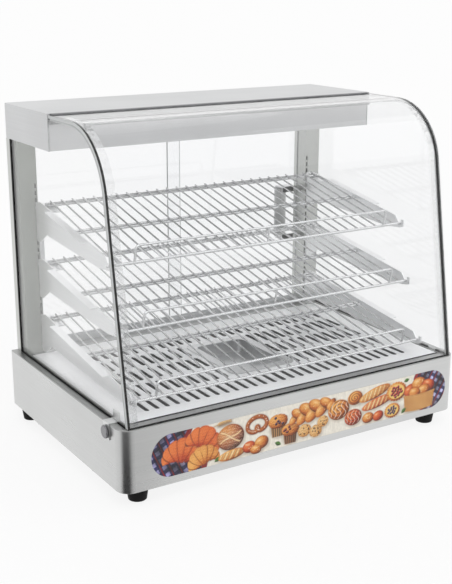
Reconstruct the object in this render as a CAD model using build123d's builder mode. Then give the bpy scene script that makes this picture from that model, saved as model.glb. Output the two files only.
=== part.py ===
from build123d import *
import os
from math import atan, cos, degrees, floor, radians, sin, tan

# Heated display case: a stainless base with heater and controls, a glass cabinet
# with a bent front pane, three tilted wire shelves, two sliding rear doors and a
# lamp box as roof. Millimetres, +Z up, the front faces -Y, seen from the front
# the right side is +X. The origin is under the middle of the whole case.

# Case
case_width = 660.0
base_depth = 437.0
base_height = 102.0
foot_clearance = 26.0
cabinet_height = 379.0
roof_height = 59.0
roof_depth = 182.0
roof_inset = 12.0
roof_corner = 1.8
sheet = 1.2
fit_gap = 0.3

# Base
base_front_radius = 22.0
base_rear_radius = 4.0
front_ledge = 23.0
side_ledge = 23.0
rear_ledge = 45.0
ledge_lip = 9.0
deck_rest = 9.0
bottom_flange = 10.0
vent_length = 46.0
vent_width = 4.0
vent_pitch = 14.0
vent_count = 12
top_edge_round = 0.8

# Feet
foot_inset_x = 40.0
foot_inset_y = 31.0
rear_foot_inset_x = 24.0
rear_foot_inset_y = 21.0
foot_top_radius = 18.5
foot_tip_radius = 14.5
foot_edge = 1.5
foot_recess_radius = 6.5
foot_recess_depth = 14.0
foot_screw_radius = 2.5
foot_screw_head_radius = 5.0
foot_screw_head = 3.2
foot_screw_length = 24.0
foot_screw_play = 0.15

# Deck and water pan
deck_play = 1.0
deck_front_play = 2.2
slot_length = 48.0
slot_width = 8.0
slot_pitch_x = 18.3
slot_pitch_y = 61.6
slot_first_row = 57.0
slot_side_margin = 45.0
slot_rear_margin = 20.0
pan_center_x = 3.0
pan_front = 118.0
pan_width = 127.0
pan_length = 172.0
pan_rim = 15.0
pan_rim_radius = 14.0
pan_well_radius = 10.0
pan_wall = 1.0
pan_well_depth = 24.0
pan_slot_margin = 6.0
pan_hole_play = 4.0

# Glass
glass_inset = 13.0
side_glass = 4.0
front_glass_wall = 5.0
door_glass = 4.0
bend_radius = 113.0
glass_lean = 9.0
glass_foot = 3.5
front_seal_height = 0.8
front_seal_depth = 5.0
seal_floor = 2.0
seal_lip = 1.0
seal_height = 5.0
edge_seal_width = 5.5
edge_seal_wall = 3.0
corner_trim_width = 13.0
corner_trim_wall = 2.0
channel_wall = 1.5
channel_height = 16.0
channel_depth = 9.0
channel_bite = 6.0

# Posts and their slots
post_width = 32.0
post_depth = 40.0
post_rear_flange = 15.0
post_wall = 1.5
rack_inset = 3.5
rack_slot_width = 3.2
rack_slot_height = 8.0
rack_pitch = 12.5
rack_first = 12.0
rack_top_margin = 75.0
shelf_step = 8
hook_spread = 4

# Shelf arms
arm_wall = 2.0
arm_foot_drop = 9.0
arm_heel = 13.0
arm_peak_out = 43.0
arm_peak_up = 10.0
arm_nose_up = 12.0
arm_nose_back = 13.0
arm_crest_drop = 1.5
arm_crest_out = 20.0
arm_rear_drop = 3.5
arm_toe_back = 37.0
arm_toe_drop = 2.0
lug_wall = 6.0
lug_floor = 5.0
lug_rise = 7.0
hook_height = 4.0
hook_bite = 4.0
hook_tooth = 4.0
tab_width = 20.0
tab_length = 42.0
tab_forward = 8.0
arm_slot_share = 0.47
arm_slot_width = 1.6
arm_slot_length = 11.0
tab_wall = 1.5
tab_radius = 7.0
arm_flange_width = 12.0
arm_flange_start = 67.0
arm_flange_back = 74.0

# Wire shelves
top_shelf_front = 113.0
middle_shelf_front = 90.0
bottom_shelf_front = 52.0
shelf_rear_gap = 36.0
shelf_rise = 54.5
shelf_front_up = 9.5
wire_radius = 1.5
cross_radius = 2.0
frame_radius = 2.4
wire_pitch = 20.0
wire_margin = 10.0
cross_pair_gap = 8.0
mid_wire_share = 0.525
weld_bite = 0.8
shelf_side_play = 1.5
front_wire_overhang = 5.0
rail_height = 28.0
rail_inset = 36.0
rail_bend = 7.0
rail_forward = 6.0
weld_gap = 0.05

# Door tracks, doors and handles
track_wall = 2.0
groove = 5.0
lower_track_height = 11.0
upper_track_height = 16.0
track_floor = 2.0
door_top_bite = 7.0
door_side_play = 0.7
door_overlap = 29.0
handle_width = 27.0
handle_length = 108.0
handle_standoff = 27.0
handle_strip = 2.0
handle_leg = 11.0
handle_edge = 6.0
handle_bend = 8.0
handle_level = 186.0

# Roof interior
soffit_flange = 15.0
lens_inset = 103.0
lens_width = 70.0
lens_lap = 8.0
lens_wall = 3.0
lamp_radius = 8.0
lamp_inset = 25.0
lamp_level = 34.0
holder_wall = 6.0
holder_bite = 12.0
holder_size = 26.0

# Rear controls
panel_side_gap = 35.0
panel_width = 250.0
panel_height = 80.0
panel_lap = 10.0
panel_corner = 4.0
knob_offset = 72.0
light_switch_offset = 8.0
heat_switch_offset = -40.0
pilot_offset = -85.0
knob_radius = 18.0
knob_skirt_radius = 21.0
knob_height = 17.0
knob_skirt = 4.0
knob_grip = 8.0
knob_gap = 0.6
shaft_radius = 3.0
shaft_play = 0.35
knob_bore_play = 0.05
thermostat_size = 34.0
thermostat_depth = 28.0
rocker_width = 14.0
rocker_half = 10.0
rocker_rise = 4.0
rocker_dip = 2.0
rocker_root = 6.0
rocker_depth = 5.0
rocker_throw = 20.0
rocker_play = 0.5
rocker_pin = 1.5
rocker_pin_play = 0.2
rocker_well = 9.0
switch_wall = 2.0
switch_flange = 2.5
switch_flange_wall = 2.0
switch_depth = 22.0
pilot_radius = 5.0
pilot_bezel = 7.0
pilot_rise = 4.0
pilot_depth = 16.0
gland_side_gap = 90.0
gland_bore = 4.5
gland_radius = 8.0
gland_flange_radius = 12.0
gland_flange = 5.0
gland_dome = 9.0
gland_dome_radius = 8.5
gland_inside = 12.0
gland_nut = 4.0
block_length = 46.0
block_width = 22.0
block_height = 18.0
block_posts = 3

# Heater
heater_radius = 4.0
heater_level = 62.0
heater_bend = 30.0
heater_side_gap = 35.0
heater_inner_x = 95.0
heater_front = 78.0
heater_back = 300.0
heater_tail = 345.0
heater_play = 0.3
shield_side_gap = 60.0
shield_front = 45.0
shield_length = 300.0
shield_level = 32.0
shield_foot = 14.0
support_inset = 85.0
support_margin = 20.0
support_foot = 12.0

# Clips, decal and screws
clip_length = 20.0
clip_wall = 1.5
clip_center = 48.0
clip_upright = 16.0
clip_drop = 25.0
clip_seal_play = 1.0
thumb_radius = 10.0
thumb_wall = 4.0
thumb_shank = 2.5
thumb_reach = 14.0
thumb_play = 0.35
thumb_level = 14.0
decal_side_gap = 36.0
decal_height = 70.0
decal_wall = 0.4
decal_center_x = 13.0
decal_level = 47.5
screw_radius = 2.0
screw_head_radius = 3.8
screw_head = 2.4
screw_length = 9.0
screw_play = 0.15
screw_edge = 5.0
screw_cross = 4.4
screw_cross_width = 1.0
screw_cross_depth = 1.2

# Levels and planes that follow from the sizes
base_bottom = foot_clearance
base_top = base_bottom + base_height
roof_bottom = base_top + cabinet_height
roof_top = roof_bottom + roof_height
half_width = case_width / 2
roof_half = half_width - roof_inset
glass_outer = half_width - glass_inset
glass_inner = glass_outer - side_glass
seal_outer = glass_outer + seal_lip
seal_inner = glass_inner - seal_lip
post_outer = seal_inner - fit_gap
post_inner = post_outer - post_width
arm_inner = post_inner + rack_inset - arm_wall / 2
arm_outer = arm_inner + arm_wall

track_depth = 3 * track_wall + 2 * groove
handle_reach = door_glass / 2 + handle_standoff + handle_strip - track_wall - groove / 2
knob_reach = sheet + knob_gap + knob_height
gland_reach = gland_flange + gland_dome
rear_reach = max(handle_reach, knob_reach, gland_reach)
overall_depth = decal_wall + base_depth + rear_reach
front_y = -overall_depth / 2 + decal_wall
rear_y = front_y + base_depth
middle_y = (front_y + rear_y) / 2
roof_front = rear_y - roof_depth
post_front = rear_y - post_depth
post_step = rear_y - post_rear_flange
side_glass_rear = post_step - fit_gap - seal_floor
deck_top = base_top - fit_gap
plate_top = base_bottom + 2 * sheet

glass_bottom = base_top + front_seal_height
side_glass_bottom = base_top + seal_floor
channel_top = roof_top - fit_gap
glass_top = channel_top - channel_wall - fit_gap
bend_z = glass_top - bend_radius
lean_run = (bend_z + bend_radius * sin(radians(glass_lean)) - glass_bottom) * tan(radians(glass_lean))
bend_y = front_y + glass_foot + lean_run + bend_radius * cos(radians(glass_lean))
glass_back = roof_front - channel_depth + channel_bite

arm_step_z = shelf_step * rack_pitch
arm_crest_up = shelf_front_up + shelf_rise - arm_crest_drop
arm_rear_up = arm_crest_up - arm_rear_drop
grid_half = arm_inner - shelf_side_play
wire_count = floor(2 * (grid_half - wire_margin) / wire_pitch) + 1
panel_mid_z = base_bottom + base_height / 2
panel_center_x = half_width - panel_side_gap - panel_width / 2
gland_x = gland_side_gap - half_width
shield_top = plate_top + shield_level
shield_half = half_width - shield_side_gap
heater_z = base_bottom + heater_level
heater_outer_x = shield_half - heater_side_gap
lens_length = 2 * (roof_half - lens_inset)
lamp_length = lens_length - 2 * lamp_inset


def extrude_x(low, high):
    """Plane across X at the lower end of a part that runs from low to high."""
    return Plane.YZ.offset(min(low, high)), abs(high - low)


def front_curve(inset, bottom, back):
    """Front pane's line in side view, inset from its outer face: lean, bend, flat top."""
    lean = radians(glass_lean)
    radius = bend_radius - inset
    tangent = (bend_y - radius * cos(lean), bend_z + radius * sin(lean))
    foot = (tangent[0] - (tangent[1] - bottom) * tan(lean), bottom)
    crest = (bend_y, bend_z + radius)
    end = (back, bend_z + radius)
    halfway = (lean + radians(90)) / 2
    knee = (bend_y - radius * cos(halfway), bend_z + radius * sin(halfway))
    return foot, tangent, knee, crest, end


def curved_strip(near, far, bottom, back, low, high):
    """Strip between two insets of the front curve, from X low to X high."""
    plane, width = extrude_x(low, high)
    with BuildPart() as strip:
        with BuildSketch(plane):
            with BuildLine():
                foot, tangent, knee, crest, end = front_curve(near, bottom, back)
                inner_foot, inner_tangent, inner_knee, inner_crest, inner_end = front_curve(far, bottom, back)
                Line(foot, tangent)
                ThreePointArc(tangent, knee, crest)
                Line(crest, end)
                Line(end, inner_end)
                Line(inner_end, inner_crest)
                ThreePointArc(inner_crest, inner_knee, inner_tangent)
                Line(inner_tangent, inner_foot)
                Line(inner_foot, foot)
            make_face()
        extrude(amount=width)
    return strip.part


pieces = {}

# Base shell: front and side walls folded from one sheet round the front corners,
# with short returns at the rear and an inward flange at the bottom.
opening_front = front_y + front_ledge
opening_back = rear_y - rear_ledge
opening_length = opening_back - opening_front
opening_mid = (opening_front + opening_back) / 2
opening_half = half_width - side_ledge
panel_hole_width = panel_width - 2 * panel_lap
panel_hole_height = panel_height - 2 * panel_lap
clip_y = front_y + clip_center
thumb_z = base_top - thumb_level
rest_z = base_top - ledge_lip
wall_top = base_top - sheet
rear_wall_half = half_width - base_rear_radius - sheet
plate_screw_x = half_width - screw_edge
rear_screw_places = [(side * case_width / 4, rear_y - screw_edge) for side in (-1, 1)]
rear_foot_places = [
    (side * (half_width - rear_foot_inset_x), rear_y - rear_foot_inset_y) for side in (-1, 1)
]
foot_places = rear_foot_places + [
    (side * (half_width - foot_inset_x), front_y + foot_inset_y) for side in (-1, 1)
]
side_screw_places = [
    (side * plate_screw_x, middle_y + end * base_depth / 4) for side in (-1, 1) for end in (-1, 1)
]


def base_outline(inset):
    """Outline of the base in plan, inset from its outer face, with round corners."""
    with BuildSketch(mode=Mode.PRIVATE) as outline:
        with Locations((0, middle_y)):
            block = Rectangle(case_width - 2 * inset, base_depth - 2 * inset)
        fillet(block.vertices().group_by(Axis.Y)[0], base_front_radius - inset)
        fillet(block.vertices().group_by(Axis.Y)[-1], base_rear_radius - inset)
    return outline.sketch


with BuildPart() as base_shell:
    with BuildSketch(Plane.XY.offset(base_bottom)):
        add(base_outline(0))
    extrude(amount=wall_top - base_bottom)
    with BuildSketch(Plane.XY.offset(base_bottom + sheet)):
        add(base_outline(sheet))
    extrude(amount=base_height, mode=Mode.SUBTRACT)
    with BuildSketch(Plane.XY.offset(base_bottom)):
        with Locations((0, middle_y)):
            Rectangle(case_width - 2 * bottom_flange, base_depth - 2 * bottom_flange)
        with Locations((0, rear_y)):
            Rectangle(2 * (rear_wall_half + fit_gap), 2 * bottom_flange)
    extrude(amount=base_height, mode=Mode.SUBTRACT)
    with BuildSketch(Plane.YZ.offset(-half_width)):
        with Locations((clip_y, thumb_z)):
            Circle(thumb_shank + thumb_play)
    extrude(amount=case_width, mode=Mode.SUBTRACT)
    with BuildSketch(Plane.XY.offset(base_bottom)):
        with Locations(*side_screw_places):
            Circle(screw_radius + screw_play)
        with Locations(*rear_foot_places):
            Circle(foot_top_radius + fit_gap)
    extrude(amount=sheet, mode=Mode.SUBTRACT)
pieces["base_shell"] = base_shell.part

# Rear wall of the base, a flat sheet with a bottom flange, cut out for the control
# panel and the cord gland.
with BuildPart() as base_rear_wall:
    with BuildSketch(Plane.XZ.offset(-rear_y)):
        with Locations((0, base_bottom)):
            Rectangle(2 * rear_wall_half, wall_top - base_bottom, align=(Align.CENTER, Align.MIN))
        with Locations((panel_center_x, panel_mid_z)):
            Rectangle(panel_hole_width, panel_hole_height, mode=Mode.SUBTRACT)
            with GridLocations(panel_width - 2 * screw_edge, panel_height - 2 * screw_edge, 2, 2):
                Circle(screw_radius + screw_play, mode=Mode.SUBTRACT)
        with Locations((gland_x, panel_mid_z)):
            Circle(gland_radius + fit_gap, mode=Mode.SUBTRACT)
    extrude(amount=sheet)
    with BuildSketch(Plane.XY.offset(base_bottom)):
        with Locations((0, rear_y)):
            Rectangle(2 * rear_wall_half, bottom_flange, align=(Align.CENTER, Align.MAX))
        with Locations(*rear_screw_places):
            Circle(screw_radius + screw_play, mode=Mode.SUBTRACT)
        with Locations(*rear_foot_places):
            Circle(foot_top_radius + fit_gap, mode=Mode.SUBTRACT)
    extrude(amount=sheet)
pieces["base_rear_wall"] = base_rear_wall.part

# Top of the base: a ledge all round with a lip that steps down to carry the deck.
with BuildPart() as base_top_frame:
    with BuildSketch(Plane.XY.offset(wall_top)):
        add(base_outline(0))
    extrude(amount=sheet)
    fillet(base_top_frame.faces().sort_by(Axis.Z)[-1].edges(), top_edge_round)
    with BuildSketch(Plane.XY.offset(rest_z)):
        with Locations((0, opening_mid)):
            Rectangle(2 * (opening_half + sheet), opening_length + 2 * sheet)
    extrude(amount=ledge_lip - sheet)
    with BuildSketch(Plane.XY.offset(rest_z + sheet)):
        with Locations((0, opening_mid)):
            Rectangle(2 * opening_half, opening_length)
    extrude(amount=ledge_lip, mode=Mode.SUBTRACT)
    with BuildSketch(Plane.XY.offset(rest_z)):
        with Locations((0, opening_mid)):
            Rectangle(2 * (opening_half - deck_rest), opening_length - 2 * deck_rest)
    extrude(amount=ledge_lip, mode=Mode.SUBTRACT)
pieces["base_top_frame"] = base_top_frame.part

# Bottom plate, lying on the shell's bottom flange, with vents and screw holes.
plate_play = sheet + fit_gap
with BuildPart() as base_bottom_plate:
    with BuildSketch(Plane.XY.offset(base_bottom + sheet)):
        add(base_outline(plate_play))
        with Locations(*side_screw_places, *rear_screw_places):
            Circle(screw_radius + screw_play, mode=Mode.SUBTRACT)
        with Locations((0, middle_y)):
            with GridLocations(vent_pitch, base_depth / 2, vent_count, 2):
                SlotOverall(vent_length, vent_width, rotation=90, mode=Mode.SUBTRACT)
        with Locations(*foot_places):
            Circle(foot_screw_radius + foot_screw_play, mode=Mode.SUBTRACT)
    extrude(amount=sheet)
pieces["base_bottom_plate"] = base_bottom_plate.part

# Rubber feet with a recess for the screw head, and their screws.
foot_top = base_bottom + sheet
taper = degrees(atan((foot_top_radius - foot_tip_radius) / foot_top))
with BuildPart() as rubber_feet:
    with BuildSketch():
        with Locations(*foot_places):
            Circle(foot_tip_radius)
    extrude(amount=foot_top, taper=-taper)
    fillet(rubber_feet.edges().group_by(Axis.Z)[0], foot_edge)
    with BuildSketch():
        with Locations(*foot_places):
            Circle(foot_recess_radius)
    extrude(amount=foot_recess_depth, mode=Mode.SUBTRACT)
    with BuildSketch():
        with Locations(*foot_places):
            Circle(foot_screw_radius + foot_screw_play)
    extrude(amount=foot_top, mode=Mode.SUBTRACT)
pieces["rubber_feet"] = rubber_feet.part

with BuildPart() as foot_screws:
    with BuildSketch(Plane.XY.offset(foot_recess_depth - foot_screw_head)):
        with Locations(*foot_places):
            Circle(foot_screw_head_radius)
    extrude(amount=foot_screw_head)
    with BuildSketch(Plane.XY.offset(foot_recess_depth)):
        with Locations(*foot_places):
            Circle(foot_screw_radius)
    extrude(amount=foot_screw_length)
pieces["foot_screws"] = foot_screws.part

# Deck: a perforated tray that drops into the ledge, with an opening for the pan.
deck_width = 2 * (opening_half - deck_play)
deck_length = opening_length - deck_play - deck_front_play
deck_y = opening_mid + (deck_front_play - deck_play) / 2
deck_drop = deck_top - rest_z - sheet
pan_y = front_y + pan_front + pan_length / 2
well_width = pan_width - 2 * pan_rim
well_length = pan_length - 2 * pan_rim
pan_keep_x = pan_width / 2 + pan_slot_margin
pan_keep_y = (pan_length + slot_length) / 2
slot_columns = floor((deck_width - 2 * slot_side_margin) / slot_pitch_x) + 1
slot_room = opening_back - front_y - slot_first_row - slot_length - slot_rear_margin
slot_rows = floor(slot_room / slot_pitch_y) + 1
slot_places = [
    (x, y)
    for x in [(i - (slot_columns - 1) / 2) * slot_pitch_x for i in range(slot_columns)]
    for y in [front_y + slot_first_row + slot_length / 2 + j * slot_pitch_y for j in range(slot_rows)]
    if abs(x - pan_center_x) > pan_keep_x or abs(y - pan_y) > pan_keep_y
]
with BuildPart() as deck_plate:
    with BuildSketch(Plane.XY.offset(deck_top - deck_drop)):
        with Locations((0, deck_y)):
            Rectangle(deck_width, deck_length)
    extrude(amount=deck_drop)
    with BuildSketch(Plane.XY.offset(deck_top - deck_drop)):
        with Locations((0, deck_y)):
            Rectangle(deck_width - 2 * sheet, deck_length - 2 * sheet)
    extrude(amount=deck_drop - sheet, mode=Mode.SUBTRACT)
    with BuildSketch(Plane.XY.offset(deck_top - sheet)):
        with Locations(*slot_places):
            SlotOverall(slot_length, slot_width, rotation=90)
        with Locations((pan_center_x, pan_y)):
            RectangleRounded(well_width + 2 * pan_hole_play, well_length + 2 * pan_hole_play, pan_rim_radius)
    extrude(amount=sheet, mode=Mode.SUBTRACT)
pieces["deck_plate"] = deck_plate.part

pan_z = deck_top + fit_gap
with BuildPart() as water_pan:
    with BuildSketch(Plane.XY.offset(pan_z)):
        with Locations((pan_center_x, pan_y)):
            RectangleRounded(pan_width, pan_length, pan_rim_radius)
    extrude(amount=pan_wall)
    with BuildSketch(Plane.XY.offset(pan_z + pan_wall - pan_well_depth)):
        with Locations((pan_center_x, pan_y)):
            RectangleRounded(well_width, well_length, pan_well_radius)
    extrude(amount=pan_well_depth)
    with BuildSketch(Plane.XY.offset(pan_z + 2 * pan_wall - pan_well_depth)):
        with Locations((pan_center_x, pan_y)):
            RectangleRounded(well_width - 2 * pan_wall, well_length - 2 * pan_wall, pan_well_radius - pan_wall)
    extrude(amount=pan_well_depth - pan_wall, mode=Mode.SUBTRACT)
pieces["water_pan"] = water_pan.part

# Printed strip on the front of the base, a thin sheet with round ends.
with BuildPart() as front_decal:
    with BuildSketch(Plane.XZ.offset(-front_y)):
        with Locations((decal_center_x, base_bottom + decal_level)):
            SlotOverall(case_width - 2 * decal_side_gap, decal_height)
    extrude(amount=decal_wall)
pieces["front_decal"] = front_decal.part

# Rear posts: hollow folded sections with a column of slots for the shelf arms.
rack_x = post_inner + rack_inset
rack_z = base_top + rack_first
rack_count = floor((cabinet_height - rack_first - rack_top_margin) / rack_pitch) + 1
for side, name in ((-1, "left"), (1, "right")):
    with BuildPart() as post:
        with BuildSketch(Plane.XY.offset(base_top)):
            with BuildLine():
                Polyline(
                    (side * post_inner, post_front),
                    (side * post_outer, post_front),
                    (side * post_outer, post_step),
                    (side * roof_half, post_step),
                    (side * roof_half, rear_y),
                    (side * post_inner, rear_y),
                    close=True,
                )
            post_face = make_face()
            offset(post_face, amount=-post_wall, mode=Mode.SUBTRACT)
        extrude(amount=cabinet_height)
        with BuildSketch(Plane.XZ.offset(-post_front - post_wall)):
            with Locations((side * rack_x, rack_z + (rack_count - 1) * rack_pitch / 2)):
                with GridLocations(rack_pitch, rack_pitch, 1, rack_count):
                    Rectangle(rack_slot_width, rack_slot_height)
        extrude(amount=post_wall, mode=Mode.SUBTRACT)
    pieces[f"{name}_post"] = post.part

# Bent front pane, its seals, its clear corner trims and the channel on the roof.
trim_back = roof_front - channel_depth - fit_gap
pieces["front_glass"] = curved_strip(0, front_glass_wall, glass_bottom, glass_back, -glass_outer, glass_outer)
edge_far = front_glass_wall + edge_seal_wall
edge_inner = glass_outer - edge_seal_width
with BuildPart() as edge_seals:
    for side in (-1, 1):
        low, high = side * edge_inner, side * glass_outer
        add(curved_strip(front_glass_wall, edge_far, glass_bottom, trim_back, low, high))
pieces["edge_seals"] = edge_seals.part
trim_high = edge_inner - fit_gap
trim_low = trim_high - corner_trim_width
trim_far = front_glass_wall + corner_trim_wall
with BuildPart() as corner_trims:
    for side in (-1, 1):
        low, high = side * trim_low, side * trim_high
        add(curved_strip(front_glass_wall, trim_far, glass_bottom, trim_back, low, high))
pieces["corner_trims"] = corner_trims.part

front_seal_y = front_y + glass_foot
with BuildPart() as front_seal:
    with BuildSketch(Plane.XY.offset(base_top)):
        with Locations((0, front_seal_y + front_seal_depth / 2)):
            Rectangle(2 * glass_outer, front_seal_depth)
    extrude(amount=front_seal_height)
pieces["front_seal"] = front_seal.part

channel_half = glass_inner - fit_gap
with BuildPart() as glass_channel:
    with BuildSketch(Plane.YZ.offset(-channel_half)):
        with Locations((roof_front, channel_top)):
            Rectangle(channel_depth, channel_height, align=(Align.MAX, Align.MAX))
        with Locations((roof_front - channel_wall, glass_top + fit_gap)):
            groove_height = front_glass_wall + 2 * fit_gap
            Rectangle(channel_depth, groove_height, align=(Align.MAX, Align.MAX), mode=Mode.SUBTRACT)
    extrude(amount=2 * channel_half)
pieces["glass_channel"] = glass_channel.part

# Flat side panes, cut to the line of the bent pane.
side_curve = front_curve(edge_far, side_glass_bottom, roof_front - fit_gap)
for side, name in ((-1, "left"), (1, "right")):
    plane, width = extrude_x(side * glass_inner, side * glass_outer)
    with BuildPart() as pane:
        with BuildSketch(plane):
            with BuildLine():
                foot, tangent, knee, crest, end = side_curve
                Line(foot, tangent)
                ThreePointArc(tangent, knee, crest)
                Polyline(
                    crest,
                    end,
                    (roof_front - fit_gap, roof_bottom - fit_gap),
                    (side_glass_rear, roof_bottom - fit_gap),
                    (side_glass_rear, side_glass_bottom),
                    foot,
                )
            make_face()
        extrude(amount=width)
    pieces[f"{name}_side_glass"] = pane.part

# Black seals of the side panes: a flat strip on the base and a channel up the post,
# with the strip left open at the clip.
edge_foot_y = front_curve(edge_far, glass_bottom, roof_front)[0][0]
seal_front = max(front_seal_y + front_seal_depth, edge_foot_y) + 2 * fit_gap
seal_rear = side_glass_rear + seal_floor
seal_top = roof_bottom - fit_gap
with BuildPart() as side_seals:
    for side in (-1, 1):
        plane, width = extrude_x(side * seal_inner, side * seal_outer)
        with BuildSketch(plane):
            with Locations((seal_front, base_top)):
                Rectangle(seal_rear - seal_front, seal_floor, align=(Align.MIN, Align.MIN))
            with Locations((seal_rear, base_top)):
                Rectangle(seal_height, seal_top - base_top, align=(Align.MAX, Align.MIN))
            with Locations((clip_y, base_top)):
                Rectangle(clip_length + 2 * clip_seal_play, 2 * seal_floor, mode=Mode.SUBTRACT)
        extrude(amount=width)
        plane, width = extrude_x(side * glass_inner, side * glass_outer)
        with BuildSketch(plane):
            with Locations((side_glass_rear, side_glass_bottom)):
                Rectangle(seal_height, cabinet_height, align=(Align.MAX, Align.MIN))
        extrude(amount=width, mode=Mode.SUBTRACT)
pieces["side_seals"] = side_seals.part

# Folded clips that hold the side panes, screwed to the side walls of the base.
clip_out = half_width + clip_wall
clip_in = seal_inner - fit_gap
with BuildPart() as glass_clips:
    with BuildSketch(Plane.XZ.offset(-clip_y - clip_length / 2)):
        with BuildLine():
            for side in (-1, 1):
                Polyline(
                    (side * clip_in, base_top + clip_upright),
                    (side * (clip_in - clip_wall), base_top + clip_upright),
                    (side * (clip_in - clip_wall), base_top),
                    (side * half_width, base_top),
                    (side * half_width, base_top - clip_drop),
                    (side * clip_out, base_top - clip_drop),
                    (side * clip_out, base_top + clip_wall),
                    (side * clip_in, base_top + clip_wall),
                    close=True,
                )
        make_face()
    extrude(amount=clip_length)
    with BuildSketch(Plane.YZ.offset(-clip_out)):
        with Locations((clip_y, thumb_z)):
            Circle(thumb_shank + thumb_play)
    extrude(amount=2 * clip_out, mode=Mode.SUBTRACT)
pieces["glass_clips"] = glass_clips.part

for side, name in ((-1, "left"), (1, "right")):
    with BuildPart() as thumb_screw:
        with BuildSketch(Plane.YZ.offset(side * (clip_out + fit_gap))):
            with Locations((clip_y, thumb_z)):
                Circle(thumb_radius)
        extrude(amount=side * thumb_wall)
        chamfer(thumb_screw.edges().filter_by(GeomType.CIRCLE), clip_wall / 2)
        with BuildSketch(Plane.YZ.offset(side * (clip_out + fit_gap))):
            with Locations((clip_y, thumb_z)):
                Circle(thumb_shank)
        extrude(amount=-side * thumb_reach)
    pieces[f"{name}_thumb_screw"] = thumb_screw.part

# Door tracks with two grooves, the rear one for the left door.
rear_groove_y = rear_y - track_wall - groove / 2
front_groove_y = rear_groove_y - groove - track_wall
track_half = post_inner - fit_gap
track_y = rear_y - track_depth / 2
groove_places = ((0, front_groove_y), (0, rear_groove_y))
with BuildPart() as lower_door_track:
    with BuildSketch(Plane.XY.offset(base_top)):
        with Locations((0, track_y)):
            Rectangle(2 * track_half, track_depth)
    extrude(amount=lower_track_height)
    with BuildSketch(Plane.XY.offset(base_top + track_floor)):
        with Locations(*groove_places):
            Rectangle(2 * track_half, groove)
    extrude(amount=lower_track_height, mode=Mode.SUBTRACT)
pieces["lower_door_track"] = lower_door_track.part
with BuildPart() as upper_door_track:
    with BuildSketch(Plane.XY.offset(roof_bottom)):
        with Locations((0, track_y)):
            Rectangle(2 * track_half, track_depth)
    extrude(amount=-upper_track_height)
    with BuildSketch(Plane.XY.offset(roof_bottom - track_floor)):
        with Locations(*groove_places):
            Rectangle(2 * track_half, groove)
    extrude(amount=-upper_track_height, mode=Mode.SUBTRACT)
pieces["upper_door_track"] = upper_door_track.part

# Sliding glass doors with bow handles of bent strip on their rear faces.
door_low = base_top + track_floor + fit_gap
door_high = roof_bottom - upper_track_height + door_top_bite
door_outer = post_inner - door_side_play
door_width = door_outer + door_overlap / 2
door_center = door_outer - door_width / 2
for side, name, groove_y in ((-1, "left", rear_groove_y), (1, "right", front_groove_y)):
    with BuildPart() as door:
        with BuildSketch(Plane.XY.offset(door_low)):
            with Locations((side * door_center, groove_y)):
                Rectangle(door_width, door_glass)
        extrude(amount=door_high - door_low)
    pieces[f"{name}_door_glass"] = door.part

    grip_near = groove_y + door_glass / 2
    grip_deep = handle_standoff + handle_strip
    grip_x = side * (door_outer - handle_edge - handle_width / 2)
    grip_z = base_top + handle_level
    with BuildPart() as grip:
        with BuildSketch(Plane.YZ.offset(grip_x - handle_width / 2)) as bow:
            with Locations((grip_near, grip_z)):
                Rectangle(grip_deep, handle_length, align=(Align.MIN, Align.CENTER))
            with Locations((grip_near + handle_strip, grip_z)):
                hollow_deep = grip_deep - 2 * handle_strip
                Rectangle(
                    hollow_deep,
                    handle_length - 2 * handle_strip,
                    align=(Align.MIN, Align.CENTER),
                    mode=Mode.SUBTRACT,
                )
            with Locations((grip_near, grip_z)):
                Rectangle(
                    handle_strip,
                    handle_length - 2 * handle_leg,
                    align=(Align.MIN, Align.CENTER),
                    mode=Mode.SUBTRACT,
                )
            fillet(bow.vertices().group_by(Axis.X)[-2], handle_bend - handle_strip)
            fillet(bow.vertices().group_by(Axis.X)[-1], handle_bend)
        extrude(amount=handle_width)
    pieces[f"{name}_door_handle"] = grip.part


def shelf_run(reach):
    """Depth of a shelf in plan, from its front wire to its rear wire."""
    return reach - shelf_rear_gap


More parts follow.
